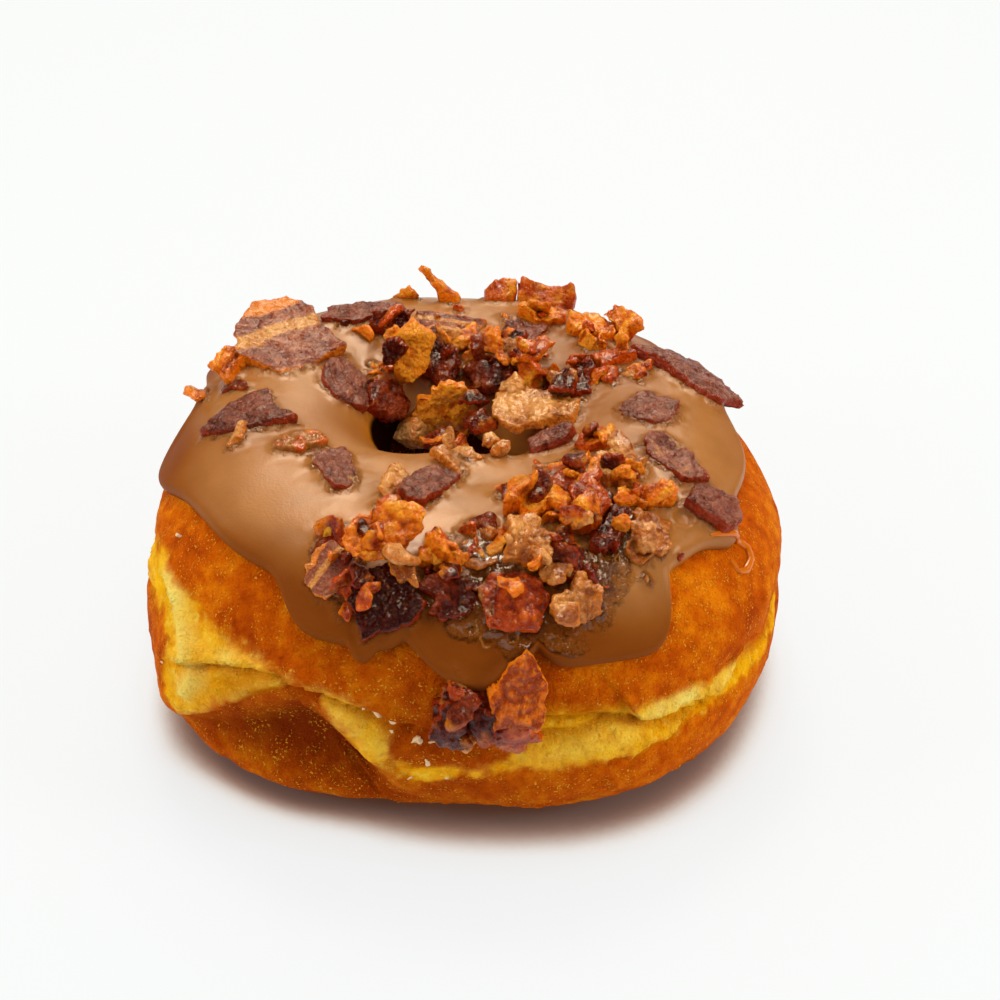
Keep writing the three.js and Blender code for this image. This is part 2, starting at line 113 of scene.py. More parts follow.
# Folds of the band, as (kind, depth, width, [(ring, height), ...]). A groove is a valley and a ridge a crest.
# A lip stands out on the left of its line, sharp on the line and easing off over its width.
FOLDS = [
    ("ridge", 1.4, 1.2, [(212, 31.5), (216, 29.8), (220, 27.3), (223, 24.6), (224, 21.5), (222, 18)]),
    ("lip", 1.9, 2.6, [(221, 22.6), (226, 24.6), (232, 26.6), (237, 28), (242, 28.4), (247, 27)]),
    ("lip", 0.9, 2.5, [(220, 13.0), (225, 15.2), (231, 19.6), (236, 24), (240, 26.2), (243, 27.2)]),
    ("lip", 1.5, 4, [(243, 26.8), (245, 21.7), (248, 13.8), (252, 10.2), (257, 6)]),
    ("groove", 1.1, 0.8, [(243, 27.8), (247, 26.8), (252, 25.6), (257, 23.9), (262, 21.7)]),
    ("ridge", 0.7, 1.0, [(244, 29.2), (249, 28.7), (253, 27), (257, 25.6), (260, 24)]),
    ("ridge", 0.8, 1.6, [(250, 24.4), (253, 22.2), (256, 20.2), (258, 18.6)]),
    ("ridge", 0.6, 1.3, [(262, 18.4), (267, 17.6), (273, 16.4)]),
    ("groove", 0.8, 0.8, [(262, 22), (268, 20.8), (274, 21.6), (280, 20.8)]),
    ("groove", 1.2, 0.8, [(280, 23.8), (286, 23.4), (291, 23.2), (295, 22.4), (298, 20.9)]),
    ("groove", 1.2, 0.7, [(298, 20.9), (302, 19.8), (306, 19.2), (311, 19.4)]),
    ("groove", 0.8, 0.7, [(281, 20.8), (285, 21), (289, 21.3), (293, 22.4)]),
    ("ridge", 0.9, 1.8, [(281, 17.6), (286, 18.2), (291, 19.2), (296, 19.6)]),
    ("lip", 1.6, 3.0, [(296.5, 24.6), (298.5, 21.8), (303, 20.9), (308, 20.6), (311, 21.8)]),
    ("lip", 0.8, 1.2, [(291, 15.2), (294, 16.6), (297, 16), (300, 17.2), (303, 16.8), (306, 18.2)]),
    ("lip", 0.8, 1.6, [(311, 19.6), (315, 19.8), (318, 21), (320, 24)]),
    ("groove", 0.8, 0.8, [(321, 21.6), (332, 20), (345, 19.8), (358, 20.4)]),
    ("lip", 0.8, 2, [(4, 20.5), (20, 19.6), (34, 21.4), (50, 20.2)]),
    ("groove", 0.8, 1.0, [(46, 22), (64, 20.6), (82, 21.6), (96, 20.4)]),
    ("lip", 0.8, 2.2, [(92, 20.6), (110, 21.4), (126, 20.2), (140, 22)]),
    ("groove", 0.8, 1.0, [(136, 22.4), (152, 21.2), (168, 23.6), (184, 22.6)]),
    ("lip", 0.7, 2, [(172, 21), (186, 22.4), (197, 25), (205, 26)]),
]

# Paler swellings of the band, as (ring, height, half width in degrees, half height, height in mm)
SWELLINGS = [
    (209, 30, 5, 4, 0.3), (217, 28, 5, 5, 0.3), (256, 18.5, 2.6, 4.5, 0.6), (249.5, 26, 4, 1.6, 0.4),
    (268, 13.8, 7, 1.8, 0.3), (291, 19.2, 8.5, 2.6, 0.7), (303.5, 22.6, 7.5, 2, 0.6), (316, 21, 4, 2, 0.4),
    (327, 21.6, 7, 1.2, 0.3), (20, 21, 14, 2, 0.4), (75, 22, 20, 2, 0.4), (115, 23, 16, 2, 0.5),
    (160, 24, 20, 2.4, 0.4), (190, 26, 10, 3, 0.4), (346, 20.5, 10, 1.6, 0.3), (50, 21.5, 10, 2, 0.3),
]

# The fold that crosses the lower left corner, with the shaded facet under it, as (ring, height)
CORNER_FOLD = [(219, 21), (222, 23), (225, 24.4), (231, 26), (236, 27.6), (241, 28.3), (246, 27)]

WALL_RADIUS = 49  # about the outer wall's, which turns ring angles into lengths

# Faces of the two large meshes
DOUGH_COLUMNS = 450
DOUGH_ROWS = 190
ICING_COLUMNS = 640
ICING_ROWS = 136
ICING_UNDER_ROWS = 4
FRONT_DENSITY = 0.5  # share by which columns are closer together at the front
WALL_DENSITY = 0.6  # share by which the dough's rows are closer together on its wall
EDGE_DENSITY = 0.4  # share by which the icing's rows are closer together at its edges
SEAM_SECTION = -82  # where the dough's rows start


def around(stations, ring):
    """A smooth closed curve through equally spaced stations, read at ring angles."""
    values = np.asarray(stations, float)
    n = len(values)
    place = np.mod(np.asarray(ring) / 360 * n, n)
    i = np.floor(place).astype(int)
    t = place - i
    a, b, c, d = (values[(i + k) % n] for k in (-1, 0, 1, 2))
    return b + 0.5 * t * (c - a + t * (2 * a - 5 * b + 4 * c - d + t * (3 * (b - c) + d - a)))


def between(stations, ring):
    """A closed curve through (ring, value) stations, read at ring angles."""
    return np.interp(ring, *np.array(stations, float).T, period=360)


def smooth(x, low, high):
    """0 to 1 as x goes from low to high, with soft ends."""
    t = np.clip((x - low) / (high - low), 0, 1)
    return t * t * (3 - 2 * t)


def turn(a, b):
    """Degrees from b to a, between -180 and 180."""
    return np.mod(a - b + 540, 360) - 180


def hump(distance, half):
    """1 where the distance is 0, and 0 from `half` on."""
    return np.where(np.abs(distance) < half, np.cos(np.clip(distance / half, -1, 1) * np.pi / 2) ** 2, 0)


def hump_at(ring, centre, half):
    return hump(turn(ring, centre), half)


def bell(distance, width):
    return np.exp(-((distance / width) ** 2))


def signed_power(x, power):
    return np.sign(x) * np.abs(x) ** power


def hashed(cell):
    """A fixed number between -1 and 1 for each cell of whole numbers."""
    h = cell[..., 0] * 73856093 ^ cell[..., 1] * 19349663 ^ cell[..., 2] * 83492791
    h = (h ^ (h >> 13)) * 1274126177
    h = h ^ (h >> 16)
    return (h & 0xFFFF) / 32767.5 - 1


def noise(points, size, seed):
    """Smooth noise between -1 and 1, with blobs about `size` across."""
    p = points / size + seed * 17.31
    cell = np.floor(p).astype(np.int64)
    t = p - cell
    t = t * t * (3 - 2 * t)
    total = 0
    for corner in product((0, 1), repeat=3):
        weight = np.prod(np.where(corner, t, 1 - t), axis=-1)
        total = total + weight * hashed(cell + np.array(corner))
    return total


def rough(points, size, seed):
    """Noise with two finer ones on it."""
    return sum(noise(points, size / 2**k, seed + k) / 2**k for k in range(3))


def cells(points, size, seed):
    """Distance to the nearest of scattered points, as a share of their spacing."""
    p = points / size + seed * 5.7
    base = np.floor(p).astype(np.int64)
    best = np.full(len(points), np.inf)
    for offset in product((-1, 0, 1), repeat=3):
        cell = base + np.array(offset)
        place = np.stack([hashed(cell + 101 * (k + 1)) for k in range(3)], -1) * 0.45 + 0.5
        best = np.minimum(best, np.linalg.norm(cell + place - p, axis=-1))
    return best


def unit(vectors):
    return vectors / (np.linalg.norm(vectors, axis=-1, keepdims=True) + 1e-12)


def wall_relief(ring, height):
    """How far the outer wall stands out of the plain section, and how much of it is the dent."""
    from_dent = turn(ring, DENT_RING)
    fall = np.where(from_dent < 0, DENT_FALL_LEFT, DENT_FALL_RIGHT)
    arch = DENT_APEX_HEIGHT - fall * (np.hypot(from_dent, 2) - 2)
    dent = smooth(arch - height, 0, DENT_SLOPE) * smooth(height, DENT_FLOOR, DENT_FLOOR + DENT_FOOT)
    near_dent = hump(from_dent, 45)
    band = hump(height - around(BAND_HEIGHT, ring), BAND_HALF_WIDTH) * (1 - near_dent)
    lower = hump(height - LOWER_HEIGHT, LOWER_HEIGHT) * (1 - near_dent)
    corner = hump_at(ring, CORNER_RING, 11) * hump(height - CORNER_HEIGHT, 14)
    foot = hump_at(ring, FOOT_RING, 38) * hump(height - FOOT_HEIGHT, 12)
    lumps = LUMP_DEPTH * np.sin(np.radians(5 * ring + 40)) * np.sin(height / 7)
    out = lumps + CORNER_SWELL * corner + FOOT_SWELL * foot + CRUST_SWELL * lower
    return out - BAND_DEPTH * band - DENT_DEPTH * dent, dent


def dough_point(ring, section):
    outer = around(OUTER_RADIUS, ring)
    top = around(TOP_HEIGHT, ring)
    across = np.cos(np.radians(section))
    up = np.sin(np.radians(section))
    power = 2 / np.where(up >= 0, UPPER_SQUARENESS, LOWER_SQUARENESS)
    reach = np.where(up >= 0, top - EQUATOR_HEIGHT, EQUATOR_HEIGHT * BASE_CUT)
    z = np.maximum(0, EQUATOR_HEIGHT + reach * signed_power(up, power))
    plain = (outer + HOLE_RADIUS) / 2 + (outer - HOLE_RADIUS) / 2 * signed_power(across, power)
    inward = (outer - plain) / (outer - HOLE_RADIUS)
    r = plain + wall_relief(ring, z)[0] * smooth(across, 0.05, 0.6)
    angle = np.radians(ring)
    x = r * np.cos(angle) + HOLE_CENTRE[0] * inward
    y = r * np.sin(angle) + HOLE_CENTRE[1] * inward
    return np.stack([x, y, z], -1)


def dough_normal(ring, section):
    along_ring = dough_point(ring + 0.5, section) - dough_point(ring - 0.5, section)
    along_section = dough_point(ring, section + 0.5) - dough_point(ring, section - 0.5)
    return unit(np.cross(along_ring, along_section))


def on_dough(ring, section):
    """Places on the dough where it lies in the frame, and its normals there."""
    ring, section = np.broadcast_arrays(np.asarray(ring, float), np.asarray(section, float))
    return dough_point(ring, section) + BASE_SHIFT, dough_normal(ring, section)


def spot_on_dough(ring, section):
    place, normal = on_dough([ring], [section])
    return place[0], normal[0]


def once_round(count, density):
    """Angles all the way round that lie closest together near 270, or near 90 for a density below 0."""
    t = np.arange(count) / count
    return 360 * (t + density / (2 * np.pi) * (1 - np.cos(2 * np.pi * t)))


# Meshes


def grid_faces(columns, rows):
    i, j = np.meshgrid(np.arange(columns), np.arange(rows), indexing="ij")
    next_i, next_j = (i + 1) % columns, (j + 1) % rows
    corners = [i * rows + j, next_i * rows + j, next_i * rows + next_j, i * rows + next_j]
    return np.stack(corners, -1).reshape(-1, 4)


def in_metres(points):
    return (points * MM).astype(np.float32).ravel()


def store(mesh, values):
    """Gives each point of a mesh a number, or a vector, under each name."""
    for name, numbers in values.items():
        numbers = np.asarray(numbers, np.float32)
        kind, key = ("FLOAT_VECTOR", "vector") if numbers.ndim == 2 else ("FLOAT", "value")
        mesh.attributes.new(name, kind, "POINT").data.foreach_set(key, numbers.ravel())


def make_object(name, points, faces, values):
    """An object from points in mm, faces of one size, and values for each point."""
    mesh = bpy.data.meshes.new(name)
    mesh.vertices.add(len(points))
    mesh.vertices.foreach_set("co", in_metres(points))
    mesh.loops.add(faces.size)
    mesh.loops.foreach_set("vertex_index", faces.astype(np.int32).ravel())
    mesh.polygons.add(len(faces))
    mesh.polygons.foreach_set("loop_start", np.arange(0, faces.size, faces.shape[1], dtype=np.int32))
    mesh.update(calc_edges=True)
    mesh.validate()
    mesh.shade_smooth()
    store(mesh, values)
    made = bpy.data.objects.new(name, mesh)
    bpy.context.scene.collection.objects.link(made)
    return made


def joined(pieces):
    """One set of points, faces and values from pieces that hold a set each."""
    points = np.concatenate([piece[0] for piece in pieces])
    starts = np.cumsum([0] + [len(piece[0]) for piece in pieces])
    faces = np.concatenate([piece[1] + start for piece, start in zip(pieces, starts)])
    values = {name: np.concatenate([piece[2][name] for piece in pieces]) for name in pieces[0][2]}
    return points, faces, values


def read_vectors(rows, key):
    out = np.empty(len(rows) * 3, np.float32)
    rows.foreach_get(key, out)
    return out.reshape(-1, 3).astype(float)


def read_points(mesh):
    return read_vectors(mesh.vertices, "co") / MM


def write_points(mesh, points):
    mesh.vertices.foreach_set("co", in_metres(points))
    mesh.update()


def ball(detail):
    made = bmesh.new()
    bmesh.ops.create_icosphere(made, subdivisions=detail, radius=1)
    points = np.array([v.co for v in made.verts])
    faces = np.array([[v.index for v in f.verts] for f in made.faces])
    made.free()
    return points, faces


def tree_over(pieces, points=(), faces=()):
    """A search tree over finished pieces and a further surface."""
    corners = [tuple(p) for p in points]
    sides = [tuple(f) for f in faces]
    for piece in pieces:
        start = len(corners)
        corners.extend(tuple(p) for p in read_points(piece.data))
        sides.extend(tuple(start + i for i in face.vertices) for face in piece.data.polygons)
    return BVHTree.FromPolygons(corners, sides)


def nearest(tree, points):
    """Signed distance above the nearest surface of a tree, and that surface's normal."""
    heights = np.empty(len(points))
    normals = np.empty((len(points), 3))
    for i, point in enumerate(points):
        place, normal, _, _ = tree.find_nearest(Vector(point))
        offset = np.array(point) - np.array(place)
        heights[i] = math.copysign(np.linalg.norm(offset), float(offset @ np.array(normal)))
        normals[i] = normal
    return heights, normals


def onto(surface, place, normal):
    """Places let down along their normals onto a surface, or left where they are beside it."""
    out = place.copy()
    for i in range(len(place)):
        hit = surface.ray_cast(Vector(place[i] + 6 * normal[i]), Vector(-normal[i]), 6)[0]
        if hit is not None:
            out[i] = hit
    return out


def finish_piece(made, look, slot, *nodes):
    made.data.materials.append(look)
    if nodes:
        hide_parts(*nodes)
    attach(made, "root")
    return made


# Materials


class Nodes:
    """Short ways to make the nodes of a material or of the world."""

    def __init__(self, tree):
        self.tree = tree

    def node(self, kind, inputs, **settings):
        made = self.tree.nodes.new(kind)
        for key, value in settings.items():
            setattr(made, key, value)
        for key, value in inputs.items():
            self.feed(made.inputs[key], value)
        return made

    def feed(self, socket, value):
        """Links a socket, or sets its value."""
        if isinstance(value, bpy.types.NodeSocket):
            self.tree.links.new(value, socket)
        else:
            socket.default_value = (*value, 1) if socket.type == "RGBA" else value

    def math(self, operation, a, b, clamp=False):
        return self.node("ShaderNodeMath", {0: a, 1: b}, operation=operation, use_clamp=clamp).outputs[0]

    def times(self, a, b):
        return self.math("MULTIPLY", a, b)

    def plus(self, a, b, clamp=False):
        return self.math("ADD", a, b, clamp)

    def span(self, value, low, high, start=0.0, end=1.0):
        """value from low to high turned smoothly into start to end."""
        inputs = {"Value": value, "From Min": low, "From Max": high, "To Min": start, "To Max": end}
        return self.node("ShaderNodeMapRange", inputs, interpolation_type="SMOOTHSTEP").outputs[0]


class Look(Nodes):
    """A material with its shader."""

    def __init__(self, name):
        self.material = bpy.data.materials.new(name)
        self.material.use_nodes = True
        super().__init__(self.material.node_tree)
        self.shader = self.tree.nodes["Principled BSDF"]
        self.place = self.node("ShaderNodeTexCoord", {}).outputs["Object"]

    def attribute(self, name, output="Fac"):
        return self.node("ShaderNodeAttribute", {}, attribute_name=name).outputs[output]

    def noise(self, size, detail, place=None):
        """Noise of about `size` mm, from 0 to 1."""
        place = self.place if place is None else place
        inputs = {"Vector": place, "Scale": 1 / (size * MM), "Detail": detail, "Roughness": 0.55}
        return self.node("ShaderNodeTexNoise", inputs).outputs[0]

    def wobble(self, size, detail, depth):
        """Noise that goes `depth` from its lowest to its highest, about 0."""
        return self.times(self.math("SUBTRACT", self.noise(size, detail), 0.5), depth)

    def cells(self, size, feature="F1"):
        inputs = {"Vector": self.place, "Scale": 1 / (size * MM)}
        return self.node("ShaderNodeTexVoronoi", inputs, feature=feature).outputs["Distance"]

    def ramp(self, value, stops):
        made = self.node("ShaderNodeValToRGB", {"Fac": value})
        elements = made.color_ramp.elements
        while len(elements) < len(stops):
            elements.new(0.5)
        for element, (position, colour) in zip(elements, stops):
            element.position = position
            element.color = (*colour, 1)
        return made.outputs["Color"]

    def mix(self, share, a, b):
        return self.node("ShaderNodeMix", {0: share, 6: a, 7: b}, data_type="RGBA").outputs[2]

    def tint(self, base, share, amount, colour):
        """A base with a share of a colour over it, `amount` at most."""
        return self.mix(self.times(share, amount), base, colour)

    def cover(self, base, value, low, high, amount, colour):
        """A base with a colour over it, from none to `amount` as the value goes from low to high."""
        return self.mix(self.span(value, low, high, 0, amount), base, colour)

    def bump(self, height, depth, *below):
        """Bump of a height from 0 to 1, `depth` mm deep, over the bump below it where there is one."""
        inputs = {"Height": height, "Distance": depth * MM} | {"Normal": normal for normal in below}
        return self.node("ShaderNodeBump", inputs).outputs[0]

    def set(self, **inputs):
        for key, value in inputs.items():
            self.feed(self.shader.inputs[key.replace("_", " ")], value)
        return self.material


# Colours of the fried crust
FRIED_COLOURS = [(0.34, (0.40, 0.046, 0.0004)), (0.5, (0.61, 0.100, 0.0004)), (0.66, (0.83, 0.215, 0.002))]
# Painted shade in the dent, where the ledge above it would shadow the crust
DENT_SHADE_COLOUR = (0.12, 0.008, 0.001)
SHADED_COLOUR = (0.22, 0.028, 0.001)
# Painted shade, near black, on the crust inside the hole
HOLE_SHADE_COLOUR = (0.05, 0.006, 0.0005)
PORE_COLOUR = (0.25, 0.026, 0.0003)
# Light specks, partly pale crumbs of crust and partly painted glints
SPECK_AND_GLINT_COLOUR = (0.95, 0.42, 0.03)

# Colours of the pale band, from its edge to its middle, and on it
BAND_COLOURS = [
    (0.2, (0.64, 0.13, 0.0004)), (0.45, (0.82, 0.27, 0.0004)), (0.68, (0.95, 0.42, 0.002)),
    (0.95, (1.0, 0.51, 0.007)),
]
AMBER_COLOUR = (0.84, 0.29, 0.0006)
LIGHT_COLOUR = (1.0, 0.66, 0.07)
# Painted shade on the band, under the corner's fold and along its top at the front
BAND_SHADE_COLOUR = (0.62, 0.205, 0.0003)
# Paler dough and painted highlight on crests, the corner fold's lip and swellings
CREAM_HIGHLIGHT_COLOUR = (1.0, 0.78, 0.18)
# Painted shade in the creases of the folds and along the tears
CREASE_SHADE_COLOUR = (0.56, 0.16, 0.0008)
DULL_GRAIN_COLOUR = (0.80, 0.33, 0.002)
LIGHT_GRAIN_COLOUR = (1.0, 0.58, 0.03)


def fried_colour(look):
    """Colour of the fried crust, and where its light specks are: pale crumbs of crust, and painted glints."""
    tone = look.plus(look.times(look.noise(9, 3), 0.55), look.times(look.noise(2.2, 4), 0.45))
    crust = look.ramp(tone, FRIED_COLOURS)
    # painted shade: the crust in the dent is darkened as if shadowed by the ledge
    crust = look.tint(crust, look.attribute("dent"), 0.85, DENT_SHADE_COLOUR)
    crust = look.tint(crust, look.attribute("shade"), 0.5, SHADED_COLOUR)
    # painted shade: the crust inside the hole is darkened nearly to black
    crust = look.tint(crust, look.attribute("hollow"), 0.9, HOLE_SHADE_COLOUR)
    crust = look.cover(crust, look.noise(0.45, 2), 0.45, 0.34, 0.3, PORE_COLOUR)
    patchy = look.span(look.noise(3.0, 3), 0.41, 0.58)
    # Light specks: pale crumbs of crust, and painted glints where the crust would sparkle
    speck_and_glint = look.times(look.span(look.noise(0.38, 2), 0.58, 0.66), patchy)
    return look.tint(crust, speck_and_glint, 0.75, SPECK_AND_GLINT_COLOUR), speck_and_glint


def band_colour(look, edge):
    """Colour of the pale band."""
    dough = look.ramp(edge, BAND_COLOURS)
    dough = look.cover(dough, look.noise(2.4, 5), 0.47, 0.64, 0.55, AMBER_COLOUR)
    dough = look.cover(dough, look.noise(1.3, 5), 0.52, 0.66, 0.5, LIGHT_COLOUR)
    # painted shade under the corner's fold and along the band's top at the front
    dough = look.tint(dough, look.attribute("band_shade"), 0.9, BAND_SHADE_COLOUR)
    # paler dough and painted highlight on crests and swellings
    dough = look.tint(dough, look.attribute("cream_highlight"), 0.9, CREAM_HIGHLIGHT_COLOUR)
    # painted shade in creases and tears
    dough = look.tint(dough, look.attribute("crease"), 0.8, CREASE_SHADE_COLOUR)
    grain = look.noise(0.5, 3)
    dough = look.cover(dough, grain, 0.5, 0.75, 0.35, DULL_GRAIN_COLOUR)
    return look.cover(dough, grain, 0.5, 0.3, 0.3, LIGHT_GRAIN_COLOUR)


def dough_look():
    look = Look("fried_dough")
    crust, speck_and_glint = fried_colour(look)
    edge = look.plus(look.attribute("pale"), look.wobble(1.6, 4, 0.6), clamp=True)
    in_band = look.ramp(edge, [(0.18, (0, 0, 0)), (0.6, (1, 1, 1))])
    bumps = look.bump(look.noise(0.4, 3), 0.42)
    bumps = look.bump(speck_and_glint, 0.12, bumps)
    bumps = look.bump(look.noise(1.4, 3), 0.45, bumps)
    return look.set(Base_Color=look.mix(in_band, crust, band_colour(look, edge)),
                    Roughness=look.span(edge, 0.2, 0.7, 0.7, 0.75), Normal=bumps, Subsurface_Weight=0.12,
                    Subsurface_Scale=0.002, Specular_IOR_Level=0.015)


# Colours of the icing, and of what darkens it: syrup, the bacon's stain, its thin rim and painted shade
ICING_COLOURS = [(0.35, (0.39, 0.132, 0.016)), (0.65, (0.46, 0.165, 0.026))]
# Thin icing over the crust with painted shade low on its side, and painted shade at the back and on the left
LOW_SHADE_COLOUR = (0.21, 0.042, 0.0003)
SYRUP_COLOUR = (0.27, 0.072, 0.006)
NEAR_BACON_COLOUR = (0.25, 0.075, 0.010)
ICING_RIM_COLOUR = (0.28, 0.10, 0.02)
# Painted shade in the gaps between the bacon where the icing is wet
GAP_SHADE_COLOUR = (0.08, 0.012, 0.001)
# Painted shade on the icing's inner slope into the hole, then painted shadow, near black, deeper in it
INNER_SHADE_COLOUR = (0.42, 0.12, 0.005)
HOLE_SHADOW_COLOUR = (0.006, 0.001, 0.0002)


def icing_look():
    look = Look("maple_icing")
    near, low, inside = (look.attribute(name) for name in ("near", "low", "inside"))
    syrup = look.span(look.plus(look.attribute("wet"), look.wobble(1.8, 4, 0.7)), 0.25, 0.75)
    base = look.ramp(look.noise(7, 3), ICING_COLOURS)
    # thin icing and painted shade low on the icing's side, painted shade at the back and left
    base = look.tint(base, low, 0.95, LOW_SHADE_COLOUR)
    base = look.tint(base, syrup, 0.65, SYRUP_COLOUR)
    base = look.tint(base, near, 0.28, NEAR_BACON_COLOUR)
    base = look.tint(base, look.attribute("rim"), 0.35, ICING_RIM_COLOUR)
    # painted shade in the wet icing between the bacon
    base = look.tint(base, look.times(near, syrup), 0.8, GAP_SHADE_COLOUR)
    # painted shade down the inner slope and painted shadow deep in the hole
    base = look.cover(base, inside, 0, 0.4, 0.7, INNER_SHADE_COLOUR)
    base = look.cover(base, inside, 0.45, 0.7, 1, HOLE_SHADOW_COLOUR)
    gloss = look.plus(look.span(syrup, 0, 1, 0.36, 0.1), look.times(low, 0.2))
    bubbles = look.times(look.times(look.span(look.cells(1.0), 0.25, 0.42), syrup), 0.7)
    bumps = look.bump(look.noise(0.4, 3), 0.03)
    bumps = look.bump(bubbles, 0.3, bumps)
    bumps = look.bump(look.times(look.noise(1.1, 4), syrup), 1.4, bumps)
    shine = look.times(look.span(low, 0, 0.8, 0.45, 0.06), look.span(inside, 0.2, 0.6, 1, 0))
    ripples = look.bump(look.noise(2.2, 2), 0.4)
    return look.set(Base_Color=base, Roughness=gloss, Normal=bumps, Subsurface_Weight=0.15,
                    Subsurface_Scale=0.0015, Specular_IOR_Level=shine, Coat_Roughness=0.05,
                    Coat_Weight=syrup, Coat_Normal=ripples)


# Each kind's colours: the meat's deep, middle and light ones, the fat's dark and light ones and the rim's.
# Then its roughness, specular level, coat and share of light specks.
MEAT = {
    "lean": dict(meat=[(0.10, 0.010, 0.003), (0.20, 0.038, 0.016), (0.33, 0.088, 0.042)],
                 fat=[(0.46, 0.09, 0.004), (0.66, 0.23, 0.03)], rim=(0.36, 0.026, 0.001),
                 rough=0.4, specular=0.3, coat=0.1, specks=0.2),
    "streaky": dict(meat=[(0.16, 0.018, 0.005), (0.29, 0.058, 0.020), (0.44, 0.12, 0.045)],
                    fat=[(0.60, 0.18, 0.014), (0.80, 0.34, 0.07)], rim=(0.90, 0.22, 0.003),
                    rough=0.36, specular=0.4, coat=0.15, specks=0.2),
    "dark": dict(meat=[(0.035, 0.001, 0.0002), (0.10, 0.005, 0.0003), (0.24, 0.026, 0.003)],
                 fat=[(0.38, 0.06, 0.001), (0.58, 0.17, 0.008)], rim=(0.34, 0.022, 0.0003),
                 rough=0.26, specular=0.2, coat=0.35, specks=0.15),
    "red": dict(meat=[(0.20, 0.010, 0.0003), (0.44, 0.042, 0.0005), (0.66, 0.11, 0.002)],
                fat=[(0.76, 0.17, 0.001), (0.92, 0.34, 0.012)], rim=(0.68, 0.075, 0.0003),
                rough=0.26, specular=0.25, coat=0.4, specks=0.2),
    "crisp": dict(meat=[(0.36, 0.042, 0.0003), (0.77, 0.15, 0.001), (1.0, 0.32, 0.012)],
                  fat=[(0.88, 0.16, 0.0005), (1.0, 0.34, 0.016)], rim=(1.0, 0.22, 0.001),
                  rough=0.36, specular=0.2, coat=0.25, specks=0.3),
    "tan": dict(meat=[(0.28, 0.052, 0.002), (0.54, 0.165, 0.022), (0.82, 0.35, 0.09)],
                fat=[(0.56, 0.14, 0.006), (0.84, 0.34, 0.07)], rim=(0.68, 0.17, 0.005),
                rough=0.36, specular=0.35, coat=0.35, specks=0.3),
}
ICING_COLOUR = (0.41, 0.145, 0.022)  # of what the icing covers


def bacon_look(kind):
    facts = MEAT[kind]
    deep, middle, light = facts["meat"]
    dark_fat, light_fat = facts["fat"]
    look = Look("bacon_" + kind)
    stretch = {"Vector": look.attribute("grain", "Vector"), "Scale": (0.12, 1.0, 0.5)}
    fibre = look.noise(0.5, 4, look.node("ShaderNodeMapping", stretch).outputs[0])
    level = look.plus(look.times(fibre, 0.3), look.times(look.noise(1.5, 4), 0.25))
    # painted highlight and shade: crests on the upper side come out lighter, hollows and undersides darker
    level = look.plus(level, look.times(look.attribute("relief"), 0.45))
    level = look.plus(level, look.attribute("tone"))
    colour = look.ramp(level, [(0.32, deep), (0.5, middle), (0.68, light)])
    fats = look.ramp(level, [(0.36, dark_fat), (0.62, light_fat)])
    ragged = look.wobble(0.9, 4, 0.4)
    for name, low, high, amount, over in (
        ("fat", 0.3, 0.7, 1, fats), ("rim", 0.45, 0.85, 0.8, facts["rim"]),
        ("glaze", 0.42, 0.7, 0.85, ICING_COLOUR),
    ):
        colour = look.cover(colour, look.plus(look.attribute(name), ragged), low, high, amount, over)
    grit = look.noise(0.6, 4)
    colour = look.cover(colour, grit, 0.48, 0.34, 0.35, deep)
    colour = look.cover(colour, grit, 0.56, 0.7, facts["specks"], light_fat)
    bumps = look.bump(fibre, 0.3)
    bumps = look.bump(look.noise(0.35, 3), 0.25, bumps)
    bumps = look.bump(look.cells(0.55, "SMOOTH_F1"), -0.3, bumps)
    bumps = look.bump(look.noise(0.9, 3), 0.4, bumps)
    gloss = look.span(look.noise(1.1, 3), 0.4, 0.62, facts["rough"] * 1.2, facts["rough"] * 0.6)
    ripples = look.bump(look.noise(1.8, 1.5), 0.3)
    return look.set(Base_Color=colour, Roughness=gloss, Normal=bumps, Subsurface_Weight=0.2,
                    Subsurface_Scale=0.0012, Specular_IOR_Level=facts["specular"], Coat_Weight=facts["coat"],
                    Coat_Roughness=0.06, Coat_Normal=ripples)


WHITE_GLAZE = (0.82, 0.55, 0.30)
CLEAR_GLAZE = (0.66, 0.145, 0.004)
BROWN_GLAZE = (0.30, 0.095, 0.012)


def glaze_look():
    look = Look("glaze")
    colour = look.mix(look.attribute("white"), CLEAR_GLAZE, WHITE_GLAZE)
    colour = look.mix(look.attribute("brown"), colour, BROWN_GLAZE)
    return look.set(Base_Color=colour, Roughness=0.1, Specular_IOR_Level=0.5)


# Dough


def from_line(ring, height, line):
    """Distance from a line on the outer wall, and the side of it, which is above 0 on its left."""
    arc = math.radians(WALL_RADIUS)
    away = np.full(ring.shape, np.inf)
    side = np.zeros(ring.shape)
    for (ring_a, z_a), (ring_b, z_b) in zip(line, line[1:]):
        ax, ay = turn(ring, ring_a) * arc, height - z_a
        bx, by = turn(ring_b, ring_a) * arc, z_b - z_a
        share = np.clip((ax * bx + ay * by) / (bx * bx + by * by), 0, 1)
        dx, dy = ax - share * bx, ay - share * by
        d = np.hypot(dx, dy)
        nearer = d < away
        side = np.where(nearer, np.sign(bx * dy - by * dx), side)
        away = np.where(nearer, d, away)
    return away, side


